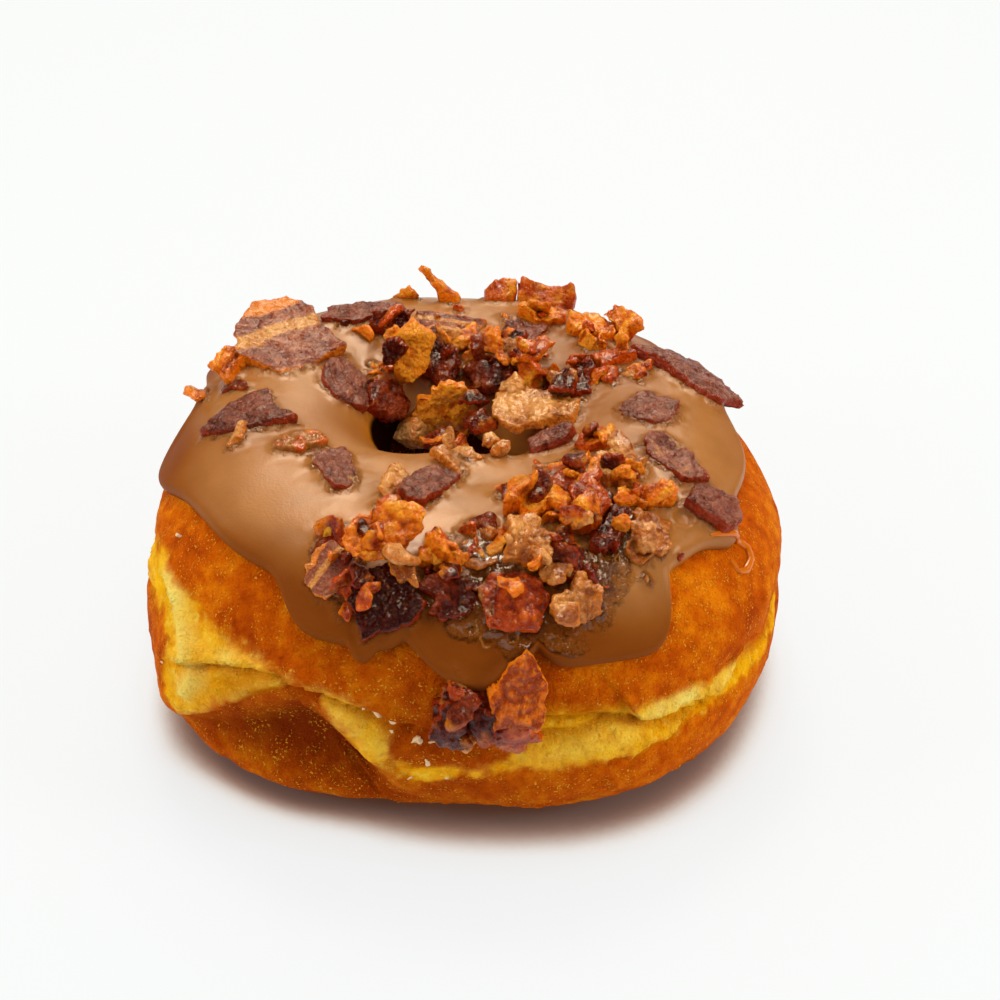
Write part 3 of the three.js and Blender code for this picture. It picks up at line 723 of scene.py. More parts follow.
def fold_relief(ring, height):
    """Relief of the band's folds, how much of it is a crest, which gets painted highlight, and how much a
    crease, which gets painted shade.
    """
    relief, crest, crease = (np.zeros(ring.shape) for _ in range(3))
    for kind, depth, width, line in FOLDS:
        away, side = from_line(ring, height, line)
        if kind == "groove":
            dip = bell(away, width)
            relief -= depth * dip
            crease = np.maximum(crease, dip)
        elif kind == "ridge":
            relief += depth * bell(away, width)
            crest = np.maximum(crest, bell(away, 1.5 * width))
        else:
            rise = np.where(side > 0, np.exp(-away / width), bell(away, 0.3))
            dip = np.where(side > 0, 0, bell(away - 0.7, 0.5))
            relief += depth * (rise - 0.4 * dip)
            crease = np.maximum(crease, 0.7 * dip)
            crest = np.maximum(crest, np.where(side > 0, 0.8 * np.exp(-away / (0.35 * width)), 0))
    return relief, crest, crease


def swellings(ring, height, ragged):
    """How much of the band is a swelling, and how far the swellings rise."""
    swell = np.zeros(ring.shape)
    rise = np.zeros(ring.shape)
    for at, level, half, half_height, depth in SWELLINGS:
        away = np.hypot(turn(ring, at) / half, (height - level) / half_height) + 0.2 * ragged
        swell = np.maximum(swell, smooth(away, 1.15, 0.45))
        rise = rise + depth * smooth(away, 1.1, 0.2)
    return swell, rise


def pale_share(points, ring, wall, ragged, swell):
    """How pale the band is, with the orange strip at its left and the fried patch at the front taken out."""
    height = points[:, 2]
    wobble = 0.9 * noise(points, 5, 1) + 0.8 * noise(points, 1.7, 2) + 0.4 * noise(points, 0.7, 12)
    soft = 3.2 * hump_at(ring, 256, 14)
    above_low = smooth(height - between(BAND_LOW, ring) + wobble, -1.2 - soft, 2.0 + soft)
    pale = above_low * smooth(between(BAND_HIGH, ring) - height + wobble, -2.4, 3.4) * wall
    orange = smooth(turn(ring, 196), 0, 6) * smooth(turn(ring, 220 - 2 * ragged), 0, -3.5)
    orange = orange * smooth(height, 27 + 2 * ragged, 23)
    bare_front = smooth(turn(ring, 257) + ragged, -1, 4) * smooth(turn(ring, 279) + 2 * ragged, 0, -5)
    bare_front = bare_front * smooth(height + ragged, 14, 17)
    pale = pale * (1 - 0.8 * orange) * (1 - 0.85 * bare_front * (1 - swell))
    return pale * (0.72 + 0.28 * swell)


def cream_highlight_share(ring, height, crest, swell):
    """How much pale dough and painted highlight there is: on crests, on the corner's fold and on swellings."""
    crests = crest * (0.3 + 0.7 * hump_at(ring, 215, 30))
    upper_lip = np.exp(-np.abs(height - between(CORNER_FOLD, ring) - 1.6) / 1.5) * hump_at(ring, 229, 15)
    return np.maximum(np.maximum(crests, 0.6 * upper_lip), (0.05 + 0.9 * hump_at(ring, 310, 23)) * swell)


def band_relief(points, ring, pale, torn):
    """Lumps and tears of the pale band, with shreds at the front right."""
    relief = pale * (0.2 * rough(points, 1.7, 4) + 0.3 * noise(points * [1, 1, 2.2], 4, 5))
    relief = relief - 0.35 * pale * smooth(torn, 0.1, 0)
    shreds = 0.6 * noise(points * [1, 1, 1.7], 1.5, 14) + 0.3 * noise(points, 0.7, 15)
    return relief + pale * hump_at(ring, 312, 22) * shreds


def crust_relief(points, ring, pale, wall):
    """Grain, blisters with pits and, below the band, fine creases of the fried crust."""
    spots = cells(points, 2.6, 7)
    blister = smooth(spots, 0.34, 0.16) * smooth(noise(points, 6, 8), 0.15, 0.5)
    relief = 0.07 * rough(points, 1.6, 6) + blister * (0.22 - 0.2 * smooth(spots, 0.15, 0.02))
    below = smooth(between(BAND_LOW, ring) - points[:, 2], 0, 2) * wall
    creases = smooth(np.abs(noise(points * [1, 1, 0.7], 3.2, 9)), 0.12, 0)
    return (1 - pale) * (relief - 0.22 * below * creases)


def make_dough():
    section = SEAM_SECTION + once_round(DOUGH_ROWS, -WALL_DENSITY)
    angles = np.broadcast_arrays(once_round(DOUGH_COLUMNS, FRONT_DENSITY)[:, None], section)
    ring, section = (grid.ravel() for grid in angles)
    plain = dough_point(ring, section)
    height = plain[:, 2]
    across = np.cos(np.radians(section))
    wall = smooth(across, 0.05, 0.5)
    ragged = noise(plain, 2.4, 11)
    swell, rise = swellings(ring, height, ragged)
    pale = pale_share(plain, ring, wall, ragged, swell)
    folds, crest, crease = fold_relief(ring, height)
    torn = np.abs(noise(plain * [1, 1, 1.8], 2.6, 13))
    relief = (folds + rise + 0.35 * rough(plain, 9, 3)) * wall
    relief = relief + band_relief(plain, ring, pale, torn) + crust_relief(plain, ring, pale, wall)
    off_floor = smooth(height, 0.3, 3)
    points = plain + dough_normal(ring, section) * (relief * off_floor)[:, None]
    points[:, 2] = np.maximum(points[:, 2], 0)
    # paler dough and painted highlight on crests, the corner fold's lip and swellings
    cream_highlight = cream_highlight_share(ring, height, crest, swell) * wall * (0.75 + 0.5 * noise(points, 2.5, 10))
    under_fold = smooth(between(CORNER_FOLD, ring) - height, 0, 1.0) * hump_at(ring, 234, 13)
    values = {
        "pale": pale,
        "cream_highlight": np.clip(cream_highlight, 0, 1),
        # painted shade: the creases of the folds and the tears of the pale band
        "crease": np.maximum(crease * wall, 0.45 * pale * smooth(torn, 0.12, 0)),
        # painted shade under the corner's fold and along the band's top at the front
        "band_shade": under_fold * (1 - swell) + 0.45 * hump_at(ring, 290, 14) * smooth(height, 23, 25),
        # where the dent is, which gets painted shade
        "dent": wall_relief(ring, height)[1] * wall,
        "shade": 0.7 * hump_at(ring, 262, 50),
        # inside the hole, which gets painted shade
        "hollow": smooth(across, 0.1, -0.5) * smooth(height, 42, 32),
    }
    made = make_object("dough", points + BASE_SHIFT, grid_faces(DOUGH_COLUMNS, DOUGH_ROWS), values)
    finish_piece(made, dough_look(), "dough", "dough_ring")


# Icing

ICING_EDGE_LIFT = -0.25  # the icing's edge ends just inside the dough
ICING_ROLL = 1.5  # distance over which its rounded edge rises
OVER_TOP = 1.2  # length of the way over the icing, as a share of the straight line
LIP_RING = 270  # icing has run over the front of the hole's rim
LIP_DEPTH = 4.6

BUBBLES = [  # ring, section, radius: craters and rings in the wet glaze
    (319.2, 65.2, 1.6), (297, 67.9, 1.1), (299.8, 64.5, 1.5), (301, 61.5, 0.9), (292.8, 56.2, 1.7),
    (289.8, 59.6, 1.1), (294.8, 58.5, 0.9), (290, 48, 1.2), (290.8, 45.8, 0.8), (274.8, 40.5, 1.0),
    (278.8, 41.2, 0.8), (285.2, 39.4, 0.9), (294, 47.2, 0.7), (281, 53, 0.7), (272, 44, 0.8), (262, 46, 0.7),
    (304, 70, 0.8), (287, 52, 0.6),
]
# Where syrup lies on the icing, as (ring, section, half width and half height in degrees)
WET_PATCHES = [(279, 53, 17, 22), (250, 56, 7, 9), (305, 74, 12, 14), (297, 62, 7, 14)]
GAP_LIMIT = 9.0  # how far from the bacon counts as far
GAP_SEARCH = 6.0


def icing_edge(ring):
    lobes = [
        reach * np.exp(-np.abs(turn(ring, at) / half) ** power) for at, half, power, reach in ICING_LOBES
    ]
    return ICING_OUTER_EDGE - np.max(lobes, axis=0) + ICING_EDGE_WAVE * np.sin(np.radians(9 * ring))


def icing_inner_edge(ring):
    return ICING_INNER_EDGE + ICING_INNER_WAVE * np.sin(np.radians(2 * ring + 30))


class Icing:
    """The icing's points, before and after the bacon is on it."""

    def __init__(self):
        ring = once_round(ICING_COLUMNS, FRONT_DENSITY)[:, None]
        step = np.arange(ICING_ROWS + ICING_UNDER_ROWS)
        on_top = step < ICING_ROWS
        under_travel = 1 - (step - ICING_ROWS + 1) / (ICING_UNDER_ROWS + 1)
        travel = np.where(on_top, step / (ICING_ROWS - 1), under_travel)
        share = travel - EDGE_DENSITY / (2 * np.pi) * np.sin(2 * np.pi * travel)
        grids = np.broadcast_arrays(ring, share, on_top)
        self.ring, self.share, self.on_top = (grid.ravel() for grid in grids)
        edge, inner = icing_edge(self.ring), icing_inner_edge(self.ring)
        self.section = edge + (inner - edge) * self.share
        self.base = dough_point(self.ring, self.section)
        self.normals = dough_normal(self.ring, self.section)
        straight = dough_point(self.ring, edge) - dough_point(self.ring, inner)
        width = np.linalg.norm(straight, axis=-1) * OVER_TOP
        self.from_edge = np.minimum(self.share, 1 - self.share) * width
        self.lift = np.where(self.on_top, self.top_lift(), ICING_EDGE_LIFT - 0.4)
        self.faces = grid_faces(ICING_COLUMNS, ICING_ROWS + ICING_UNDER_ROWS)

    def top_lift(self):
        """How far the icing's upper side is off the dough."""
        roll = np.clip(1 - self.from_edge / ICING_ROLL, 0, 1)
        lift = ICING_EDGE_LIFT + (ICING_GAP + ICING_THICKNESS - ICING_EDGE_LIFT) * np.sqrt(1 - roll**2)
        bead = 0.22 * bell(self.from_edge - 1.5, 1.1)
        waves = 0.16 * noise(self.base, 11, 20) + 0.08 * noise(self.base, 5, 21)
        lip = LIP_DEPTH * hump_at(self.ring, LIP_RING, 85) * smooth(self.section, 108, 138)
        return lift + bead + waves * smooth(self.from_edge, 0, 4) + lip * smooth(self.from_edge, 0, 2.5)

    def points(self, extra=0.0):
        return self.base + self.normals * (self.lift + extra)[:, None] + BASE_SHIFT


def gaps_to(tree, points, chosen):
    """How far each chosen point is from the surfaces in a tree."""
    gap = np.full(len(points), GAP_LIMIT)
    for i in np.flatnonzero(chosen):
        distance = tree.find_nearest(Vector(points[i]), GAP_SEARCH)[3]
        if distance is not None:
            gap[i] = distance
    return gap


def wet_share(icing, points, gap):
    """How wet with syrup the icing is: beside bacon and in patches, but not at its edge."""
    wet = 0.45 * np.exp(-gap / 1.6)
    for ring, section, ring_half, section_half in WET_PATCHES:
        away = np.hypot(turn(icing.ring, ring) / ring_half, (icing.section - section) / section_half)
        wet = np.maximum(wet, smooth(away + 0.4 * noise(points, 4, 30), 1.2, 0.4))
    return wet * smooth(icing.from_edge, 0.5, 3)


def low_shade_share(icing, points):
    """How dark the icing is: low on its side, from thin icing over the crust and painted shade, and more of it
    on the right, at the back and on the left, as painted shade.
    """
    start = 74 - 18 * hump_at(icing.ring, 305, 35)
    low = smooth(icing.section + 5 * noise(points, 9, 34), start, start - 26)
    low = low * (1 - 0.7 * hump_at(icing.ring, 338, 40))
    low = low + 0.42 * hump_at(icing.ring, 20, 95) * smooth(icing.section, 72, 90)
    return np.clip(low + 0.3 * hump_at(icing.ring, 195, 28) * smooth(icing.section, 60, 75), 0, 1)


def bubble_relief(icing, points):
    """Relief of the rims and craters of burst bubbles."""
    relief = np.zeros(len(points))
    for ring, section, radius in BUBBLES:
        centre = spot_on_dough(ring, section)[0]
        away = np.linalg.norm(points - centre - icing.normals * icing.lift[:, None], axis=-1)
        relief += 0.3 * bell(away - radius, 0.35) - 0.2 * smooth(away, radius, radius * 0.4)
    return relief


def make_icing(icing, bacon_tree):
    """The icing, drawn up round the bacon. Returns a search tree over it."""
    plain = icing.points()
    gap = gaps_to(bacon_tree, plain, icing.on_top)
    near = bell(gap, 0.8)
    wet = wet_share(icing, plain, gap)
    inside_edge = smooth(icing.from_edge, 0.2, 2.5)
    lumps = wet * (0.35 + 0.45 * rough(plain, 2.2, 31) + 0.22 * noise(plain, 1.0, 33))
    extra = 0.4 * near * inside_edge + lumps + bubble_relief(icing, plain) * inside_edge
    points = icing.points(np.where(icing.on_top, extra, 0))
    values = {
        "wet": wet,
        "near": near,
        "rim": np.exp(-icing.from_edge / 0.6) * icing.on_top,
        # the icing going into the hole, which gets painted shade and shadow
        "inside": smooth(icing.section, 124, 143) * hump_at(icing.ring, 165, 75),
        # where the icing is darkened, partly by painted shade
        "low": low_shade_share(icing, plain),
    }
    made = make_object("icing", points, icing.faces, values)
    finish_piece(made, icing_look(), "icing", "maple_icing")
    return tree_over([], points, icing.faces)


# Glaze that has run, as (ring, section)
RUN = [(321, 55), (325, 51), (328, 46.5), (329.5, 41), (328.6, 36.6), (326, 35.2), (324, 37.5), (323.8, 43)]
RUN_RADIUS = 0.6
RUN_STEPS = 60
BEAD_COLUMNS = 32
BEAD_ROWS = 10

# Flecks of dry glaze on the wall, as (ring, height, half length)
FLECKS = [
    (210, 36.5, 0.7), (216, 19.6, 0.6), (253, 10.7, 1.0), (262, 12.8, 0.8), (256, 8.3, 0.7), (257, 21.5, 0.6),
    (263, 20.2, 1.2), (261, 19, 0.8), (255, 25.8, 0.7), (268, 13.5, 0.6), (258.5, 21.5, 1.2),
    (264.5, 17, 1.2), (266, 20.5, 1.3), (268, 18, 0.8), (260, 23.4, 1.0), (270, 21.5, 1.0),
    (252, 27.4, 0.9), (257, 24.8, 1.1),
]

def run_of_glaze(surface, sphere):
    """The points of a ball drawn out along the run, on a surface."""
    from_axis = np.hypot(sphere[:, 0], sphere[:, 1]) + 1e-6
    blunt = from_axis**0.4 / from_axis
    along = (sphere[:, 2] + 1) / 2
    steps = np.linspace(0, 1, RUN_STEPS)
    stations = np.linspace(0, 1, len(RUN))
    line, upright = on_dough(*(np.interp(steps, stations, angles) for angles in np.array(RUN).T))
    line = onto(surface, line, upright)
    place, normal, forward = (
        np.stack([np.interp(along, steps, column) for column in vectors.T], -1)
        for vectors in (line, upright, np.gradient(line, axis=0))
    )
    normal = unit(normal)
    side = unit(np.cross(unit(forward), normal))
    across = side * (sphere[:, 0] * blunt)[:, None] + normal * (0.8 * sphere[:, 1] * blunt)[:, None]
    return place + across * (RUN_RADIUS * (1 + 0.25 * noise(place, 1.5, 40)))[:, None]


def bubble_rim(surface, ring, section, radius):
    """A bead of syrup round a burst bubble."""
    shares = (np.arange(count) / count for count in (BEAD_COLUMNS, BEAD_ROWS))
    turns, rounds = (2 * np.pi * grid.ravel() for grid in np.meshgrid(*shares, indexing="ij"))
    place, normal = on_dough([ring], [section])
    place = onto(surface, place, normal)[0]
    tube = 0.12 + 0.08 * radius
    reach = radius * (1 + 0.1 * np.sin(2 * turns + ring) + 0.06 * np.sin(5 * turns)) + tube * np.cos(rounds)
    local = np.stack([reach * np.cos(turns), reach * np.sin(turns), 1.1 * tube * np.sin(rounds) + 0.08], -1)
    return local @ tilted(normal[0], 0, np.random.default_rng(3)) + place


def fleck(sphere, ring, height, size, seed):
    """A fleck of dry glaze on the wall."""
    sections = np.linspace(-70, 80, 301)
    section = np.interp(height, dough_point(np.full(301, float(ring)), sections)[:, 2], sections)
    place, normal = spot_on_dough(ring, section)
    local = flake(sphere, size, 0.5, 0.25, seed)[0]
    return local @ tilted(normal, 0.2, np.random.default_rng(seed)) + place + normal * 0.15


def glaze_piece(points, faces, white, brown):
    return points, faces, {"white": np.full(len(points), white), "brown": np.full(len(points), brown)}


def make_glaze(surface):
    """One mesh of the run of glaze, the rims of burst bubbles and the flecks."""
    sphere, faces = ball(4)
    quads = grid_faces(BEAD_COLUMNS, BEAD_ROWS)
    halves = np.concatenate([quads[:, [0, 1, 2]], quads[:, [0, 2, 3]]])
    pieces = [glaze_piece(run_of_glaze(surface, sphere), faces, 0.0, 0.0)]
    for bubble in BUBBLES:
        pieces.append(glaze_piece(bubble_rim(surface, *bubble), halves, 0.0, 1.0))
    for seed, spot in enumerate(FLECKS, start=400):
        pieces.append(glaze_piece(fleck(sphere, *spot, seed), faces, 1.0, 0.0))
    finish_piece(make_object("glaze_drips", *joined(pieces)), glaze_look(), "icing")


# Bacon

VOXEL = 0.28  # of the even mesh over each piece

COATED = {  # pieces that lie deep in the icing, and how far it covers them, in mm
    "bacon_lean_02": 0.2,
    "bacon_lean_03": 0.55,
    "bacon_red_01": 2.2,
    "bacon_lean_08": 0.4,
    "bacon_lean_09": 0.4,
    "bacon_lean_11": 0.6,
    "bacon_streaky_03": 0.8,
    "bacon_tan_07": 1.4,
    "bacon_tan_05": 1.0,
    "bacon_tan_06": 1.1,
    "bacon_dark_07": 0.9,
    "bacon_dark_08": 0.3,
    "bacon_dark_09": 0.9,
    "bacon_red_09": 1.7,
    "bacon_red_07": 1.0,
    "bacon_crisp_09": 0.9,
    "bacon_tan_03": 2.5,
}
UNCOATED_REACH = 0.6

# How each kind is shaped: the share kept of its slab's thickness, how far it crinkles, how far its rim curls
# and is torn, how deep its bubbles are, its share of fat, and how much of that is in stripes
KINDS = {
    "lean": dict(thin=0.7, crinkle=0.4, frill=0.2, tear=0.75, bubbles=0.12, fat=0.05, stripes=0.75),
    "streaky": dict(thin=0.6, crinkle=0.5, frill=0.3, tear=0.6, bubbles=0.1, fat=0.5, stripes=1),
    "dark": dict(thin=0.9, crinkle=0.8, frill=0.4, tear=1.1, bubbles=0.3, fat=0.12, stripes=0.25),
    "red": dict(thin=0.85, crinkle=0.8, frill=0.4, tear=1.0, bubbles=0.26, fat=0.25, stripes=0.25),
    "crisp": dict(thin=0.8, crinkle=1.0, frill=0.7, tear=1.2, bubbles=0.34, fat=0.4, stripes=0.25),
    "tan": dict(thin=0.9, crinkle=0.9, frill=0.5, tear=1.1, bubbles=0.36, fat=0.45, stripes=0.25),
}
# Where a piece is unlike its kind: also how much wider it is, how its stripes slant and how light its tone is
ORDINARY = dict(widen=1, slant=0, tone=0)
UNLIKE_THEIR_KIND = {
    "bacon_streaky_01": dict(widen=1.35, slant=0.6),
    "bacon_lean_01": dict(thin=0.9, crinkle=0.2, tear=0.3, tone=0.04),
    "bacon_lean_02": dict(widen=1.35, thin=0.9, tone=-0.06),
    "bacon_lean_07": dict(widen=1.4, thin=0.9),
    "bacon_red_01": dict(tear=0.2, crinkle=0.4, frill=0),
    "bacon_red_02": dict(crinkle=0.3, tear=0.3, fat=0.3, tone=0.1, bubbles=0.08),
    "bacon_red_03": dict(crinkle=0.3, tear=0.2, fat=0.35, tone=0.08, bubbles=0.08),
    "bacon_crisp_02": dict(crinkle=0.3, tear=0.3, frill=0.3, bubbles=0.15),
    "bacon_crisp_06": dict(tone=0.2, fat=0.4, widen=1.15),
    "bacon_crisp_07": dict(fat=0.5, tone=0.16, thin=1, tear=0.9),
    "bacon_crisp_10": dict(crinkle=0.8, tear=0.9, fat=0.3),
    "bacon_crisp_12": dict(crinkle=0.5, tear=0.6, frill=0.3, fat=0.1, tone=-0.14),
    "bacon_tan_01": dict(crinkle=0.8, tear=0.8, fat=0.6, tone=0.06),
    "bacon_tan_03": dict(tear=0.1, crinkle=0.1, frill=0, thin=1, tone=0.25, bubbles=0.05),
    "bacon_tan_05": dict(tone=-0.1),
    "bacon_tan_06": dict(tone=-0.08),
    "bacon_tan_07": dict(tone=-0.06),
    "bacon_lean_10": dict(crinkle=0.2, tear=1.0, thin=0.6),
    "bacon_dark_08": dict(tear=0.7, fat=-0.1, tone=-0.22, bubbles=0.15, crinkle=0.6),
    "bacon_red_09": dict(tear=0.3, fat=0.05, tone=-0.1),
}
# Upper outline of pieces that stand on edge, as (share of the width from the left, share of the height)
TOPS = {
    "bacon_red_03": [(0, 0.8), (0.08, 1.0), (0.3, 0.72), (0.55, 0.6), (0.75, 0.66), (0.93, 0.9), (1, 0.5)],
    "bacon_red_02": [(0, 0.3), (0.3, 0.85), (0.6, 1), (0.95, 0.95), (1, 0.8)],
}
TOP_SLOTS = 24  # of the width, in which the old outline is measured


def with_top(points, profile):
    """Points stretched upright so that their upper outline follows a profile."""
    low, high = points[:, 2].min(), points[:, 2].max()
    left, right = points[:, 0].min(), points[:, 0].max()
    share = (points[:, 0] - left) / (right - left)
    steps = np.linspace(0, 1, TOP_SLOTS + 1)
    slot = np.clip((share * TOP_SLOTS + 0.5).astype(int), 0, TOP_SLOTS)
    reach = np.array([points[slot == k, 2].max(initial=low + 0.8) for k in range(TOP_SLOTS + 1)]) - low
    wanted = np.interp(share, *zip(*profile)) * (high - low)
    out = points.copy()
    out[:, 2] = low + (points[:, 2] - low) * wanted / np.interp(share, steps, reach)
    return out


def remeshed(source, name):
    """An even mesh over a CAD node's shape."""
    copy = bpy.data.objects.new(name, source.data.copy())
    bpy.context.scene.collection.objects.link(copy)
    remesh = copy.modifiers.new("remesh", "REMESH")
    remesh.mode = "VOXEL"
    remesh.voxel_size = VOXEL * MM
    remesh.adaptivity = 0
    graph = bpy.context.evaluated_depsgraph_get()
    mesh = bpy.data.meshes.new_from_object(copy.evaluated_get(graph))
    mesh.name = name
    copy.modifiers.clear()
    copy.data = mesh
    mesh.materials.clear()
    mesh.shade_smooth()
    return copy


class Rasher:
    """A piece of bacon, from the plain slab of its CAD node to its crinkled and torn mesh."""

    def __init__(self, node, seed, icing_tree):
        self.node = node
        self.seed = seed
        self.icing_tree = icing_tree
        self.kind = node.split("_")[1]
        self.facts = ORDINARY | KINDS[self.kind] | UNLIKE_THEIR_KIND.get(node, {})
        self.object = remeshed(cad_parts[node], node.replace("bacon", "rasher"))
        mesh = self.object.data
        if node in TOPS:
            write_points(mesh, with_top(read_points(mesh), TOPS[node]))
        points = read_points(mesh)
        self.normals = read_vectors(mesh.vertex_normals, "vector")
        centre = points.mean(axis=0)
        self.axes = np.linalg.svd(points - centre, full_matrices=False)[2]
        wider = (points - centre) @ self.axes[1] * (self.facts["widen"] - 1)
        self.points = points + wider[:, None] * self.axes[1]
        uprightness = self.axes[2] @ nearest(icing_tree, [centre])[1][0]
        if uprightness < 0:
            self.axes[2] = -self.axes[2]
        self.lies_flat = smooth(abs(uprightness), 0.6, 0.85)
        self.local = (self.points - centre) @ self.axes.T
        self.flat = self.local * [1, 1, 0]
        self.half = np.abs(self.local).max(axis=0)
        self.out = np.linalg.norm(self.local[:, :2] / self.half[:2], axis=-1)
        self.rim = smooth(self.out, 0.35, 0.95)
        self.side = 1 - smooth(np.abs(self.normals @ self.axes[2]), 0.3, 0.85)
        self.waves = noise(self.flat, 2.2, seed + 50)
        self.ripple = noise(self.flat, 1.3, seed + 52)
        self.face = 0.16 * rough(self.points, 1.2, seed + 3) + 0.07 * noise(self.points, 0.5, seed + 9)
        self.bubbles = 1.6 * self.facts["bubbles"] * (0.55 - cells(self.points, 1.2, seed))

    def bend(self):
        """How far the slab is bent along its thin axis, with its rim curled and its thickness less."""
        crinkle = self.facts["crinkle"]
        bend = crinkle * (noise(self.flat, 4.5, self.seed) + 0.45 * self.waves)
        bend += 0.22 * crinkle * self.ripple
        bend += self.facts["frill"] * self.rim * (0.4 + noise(self.flat, 2.6, self.seed + 60))
        return bend - (1 - self.facts["thin"]) * (self.local[:, 2] + self.lies_flat * self.half[2])

    def tear(self):
        """How far notches go in from the rim."""
        flat, seed = self.flat, self.seed
        notch = smooth(noise(flat, 2.4, seed + 1), -0.25, 0.7) + 0.5 * noise(flat, 1.1, seed + 2)
        notch += 0.25 * noise(flat, 0.6, seed + 12)
        notch += 0.2 * noise(self.points, 0.6, seed + 8)
        return self.facts["tear"] * self.rim * notch

    def shape(self):
        """Bends, tears and roughens the slab, and lets it down into the icing. Returns its heights before."""
        moved = self.points + self.axes[2] * self.bend()[:, None]
        moved -= unit(self.flat) @ self.axes * self.tear()[:, None]
        fibres = 0.07 * noise(self.local * [0.15, 1, 0.6], 0.55, self.seed + 4)
        moved += self.normals * ((self.face + fibres + self.bubbles) * (1 - 0.4 * self.side))[:, None]
        height, up = nearest(self.icing_tree, moved)
        facing = -np.einsum("ij,ij->i", self.normals, up)
        settle = smooth(facing, -0.1, 0.5) * (1 - smooth(height, 1.3, 2.6)) * (height + 0.35)
        write_points(self.object.data, moved - up * np.maximum(settle, 0)[:, None])
        return height

    def across_stripes(self):
        """Place across a streaky piece's stripes: 1 at its far side and -1 at its near one."""
        across = self.local[:, 1] / self.half[1] * (1 if self.axes[1][1] > 0 else -1)
        rightward = self.local[:, 0] / self.half[1] * (1 if self.axes[0][0] > 0 else -1)
        wander = 0.1 * noise(self.local * [0.2, 1, 0], 3, self.seed + 5)
        return across + (wander - self.facts["slant"] * rightward)

    def paint(self, height):
        """Stores what the look needs at each point."""
        seed = self.seed
        stripe = noise(self.local * [0.06, 1, 0.3], 2.4, seed + 5)
        edge = np.maximum(self.side * self.rim, 0.7 * smooth(self.out, 0.8, 1.05))
        if self.kind == "streaky":
            across = self.across_stripes()
            stripe = 1.6 * np.maximum(hump(across - 0.12, 0.3), smooth(across, 0.68, 0.85)) - 0.8
            edge = np.maximum(edge, np.maximum(smooth(across, 0.55, 0.8), 0.8 * smooth(across, -0.75, -0.95)))
        blotch = noise(self.points, 3.2, seed + 6)
        share = self.facts["stripes"]
        fat = 0.5 + 0.55 * (share * stripe + (1 - share) * blotch) + (self.facts["fat"] - 0.5) * 1.2
        reach = COATED.get(self.node, UNCOATED_REACH)
        crest = 0.35 * self.waves + 0.25 * self.ripple + 1.3 * self.face + 1.2 * self.bubbles
        tone = 0.06 * hashed(np.array([[seed, 3, 9]]))[0] + self.facts["tone"]
        store(self.object.data, {
            "fat": np.clip(fat + 0.15 * noise(self.points, 1.2, seed + 7), 0, 1),
            "rim": edge,
            "glaze": smooth(height + 0.5 * noise(self.points, 1.4, seed + 10), reach, reach * 0.25),
            # lighter crests on the upper side and darker undersides: painted highlight and shade
            "relief": np.clip(0.5 + crest * np.sign(self.normals @ self.axes[2]), 0, 1),
            "tone": np.full(len(self.points), tone) + 0.05 * blotch,
            "grain": self.local * MM,
        })


def make_bacon(node, seed, icing_tree, looks):
    rasher = Rasher(node, seed, icing_tree)
    rasher.paint(rasher.shape())
    return finish_piece(rasher.object, looks[rasher.kind], "bacon_" + rasher.kind, node)


# Crumbs of bacon that show from a step away, as (ring, section, half length) for each kind
CRUMBS = {
    "crisp": [
        (162, 70, 2.6), (171, 57, 2.3), (103, 70, 1.9), (125, 98, 2), (86, 110, 2.6), (70, 114, 3),
        (18, 87, 2.2), (39, 91, 2.1), (36, 87, 2.2), (28, 87, 2), (63, 87, 2.2), (106, 154, 2), (266, 68, 2.2),
        (289, 88, 2.4), (313, 108, 2.1), (330, 101, 1.8), (317, 96, 2), (316, 75, 2.4), (304, 71, 1.7),
    ],
    "tan": [
        (200, 82, 2.4), (251, 100, 2.6), (268, 128, 2.6), (259, 64, 2.4), (275, 67, 2.1),
        (284, 73, 2.8), (25, 153, 1.9), (326, 93, 2.4), (307, 64, 2.6), (288, 61, 2.2), (288, 48, 2.2),
    ],
    "red": [
        (114, 98, 2.4), (54, 106, 2.2), (44, 122, 2.8), (18, 96, 2.3), (60, 78, 1.8),
        (252, 90, 1.8), (243, 75, 1.9), (273, 80, 1.7), (308, 96, 2.3), (300, 100, 2.4), (304, 88, 2.4),
        (269.5, 24, 2.2), (244, 70, 2.8), (250, 50, 2.4), (275, 3, 2.4), (122, 121, 2.2),
    ],
    "dark": [
        (174, 76, 1.8), (140, 130, 2.2), (131, 119, 2.0), (72, 124, 2.8), (12, 116, 2.6), (242, 66, 1.7),
        (277, 83, 1.7), (329, 105, 1.9), (317, 90, 2.2), (290, 67, 2.2), (268.5, 13, 3.4), (273, 14, 2.8),
        (270, 20, 2.8), (270.8, 3, 2.8),
    ],
}
# Where smaller crumbs lie between the large pieces, as (ring, section, half spread of each, count, half
# length of the smallest and of the largest)
HEAPS = [
    (303, 88, 17, 16, 24, 1.6, 3.0), (281, 68, 17, 13, 17, 1.4, 2.8), (249, 62, 8, 13, 9, 1.2, 2.4),
    (60, 118, 45, 16, 20, 1.4, 2.8), (126, 124, 10, 7, 6, 1.2, 2.2), (30, 90, 16, 7, 8, 1.2, 2.2),
    (95, 92, 35, 10, 8, 0.7, 1.4), (270.5, 10, 3, 12, 6, 1.2, 2.2), (290, 64, 24, 14, 14, 0.6, 1.0),
]
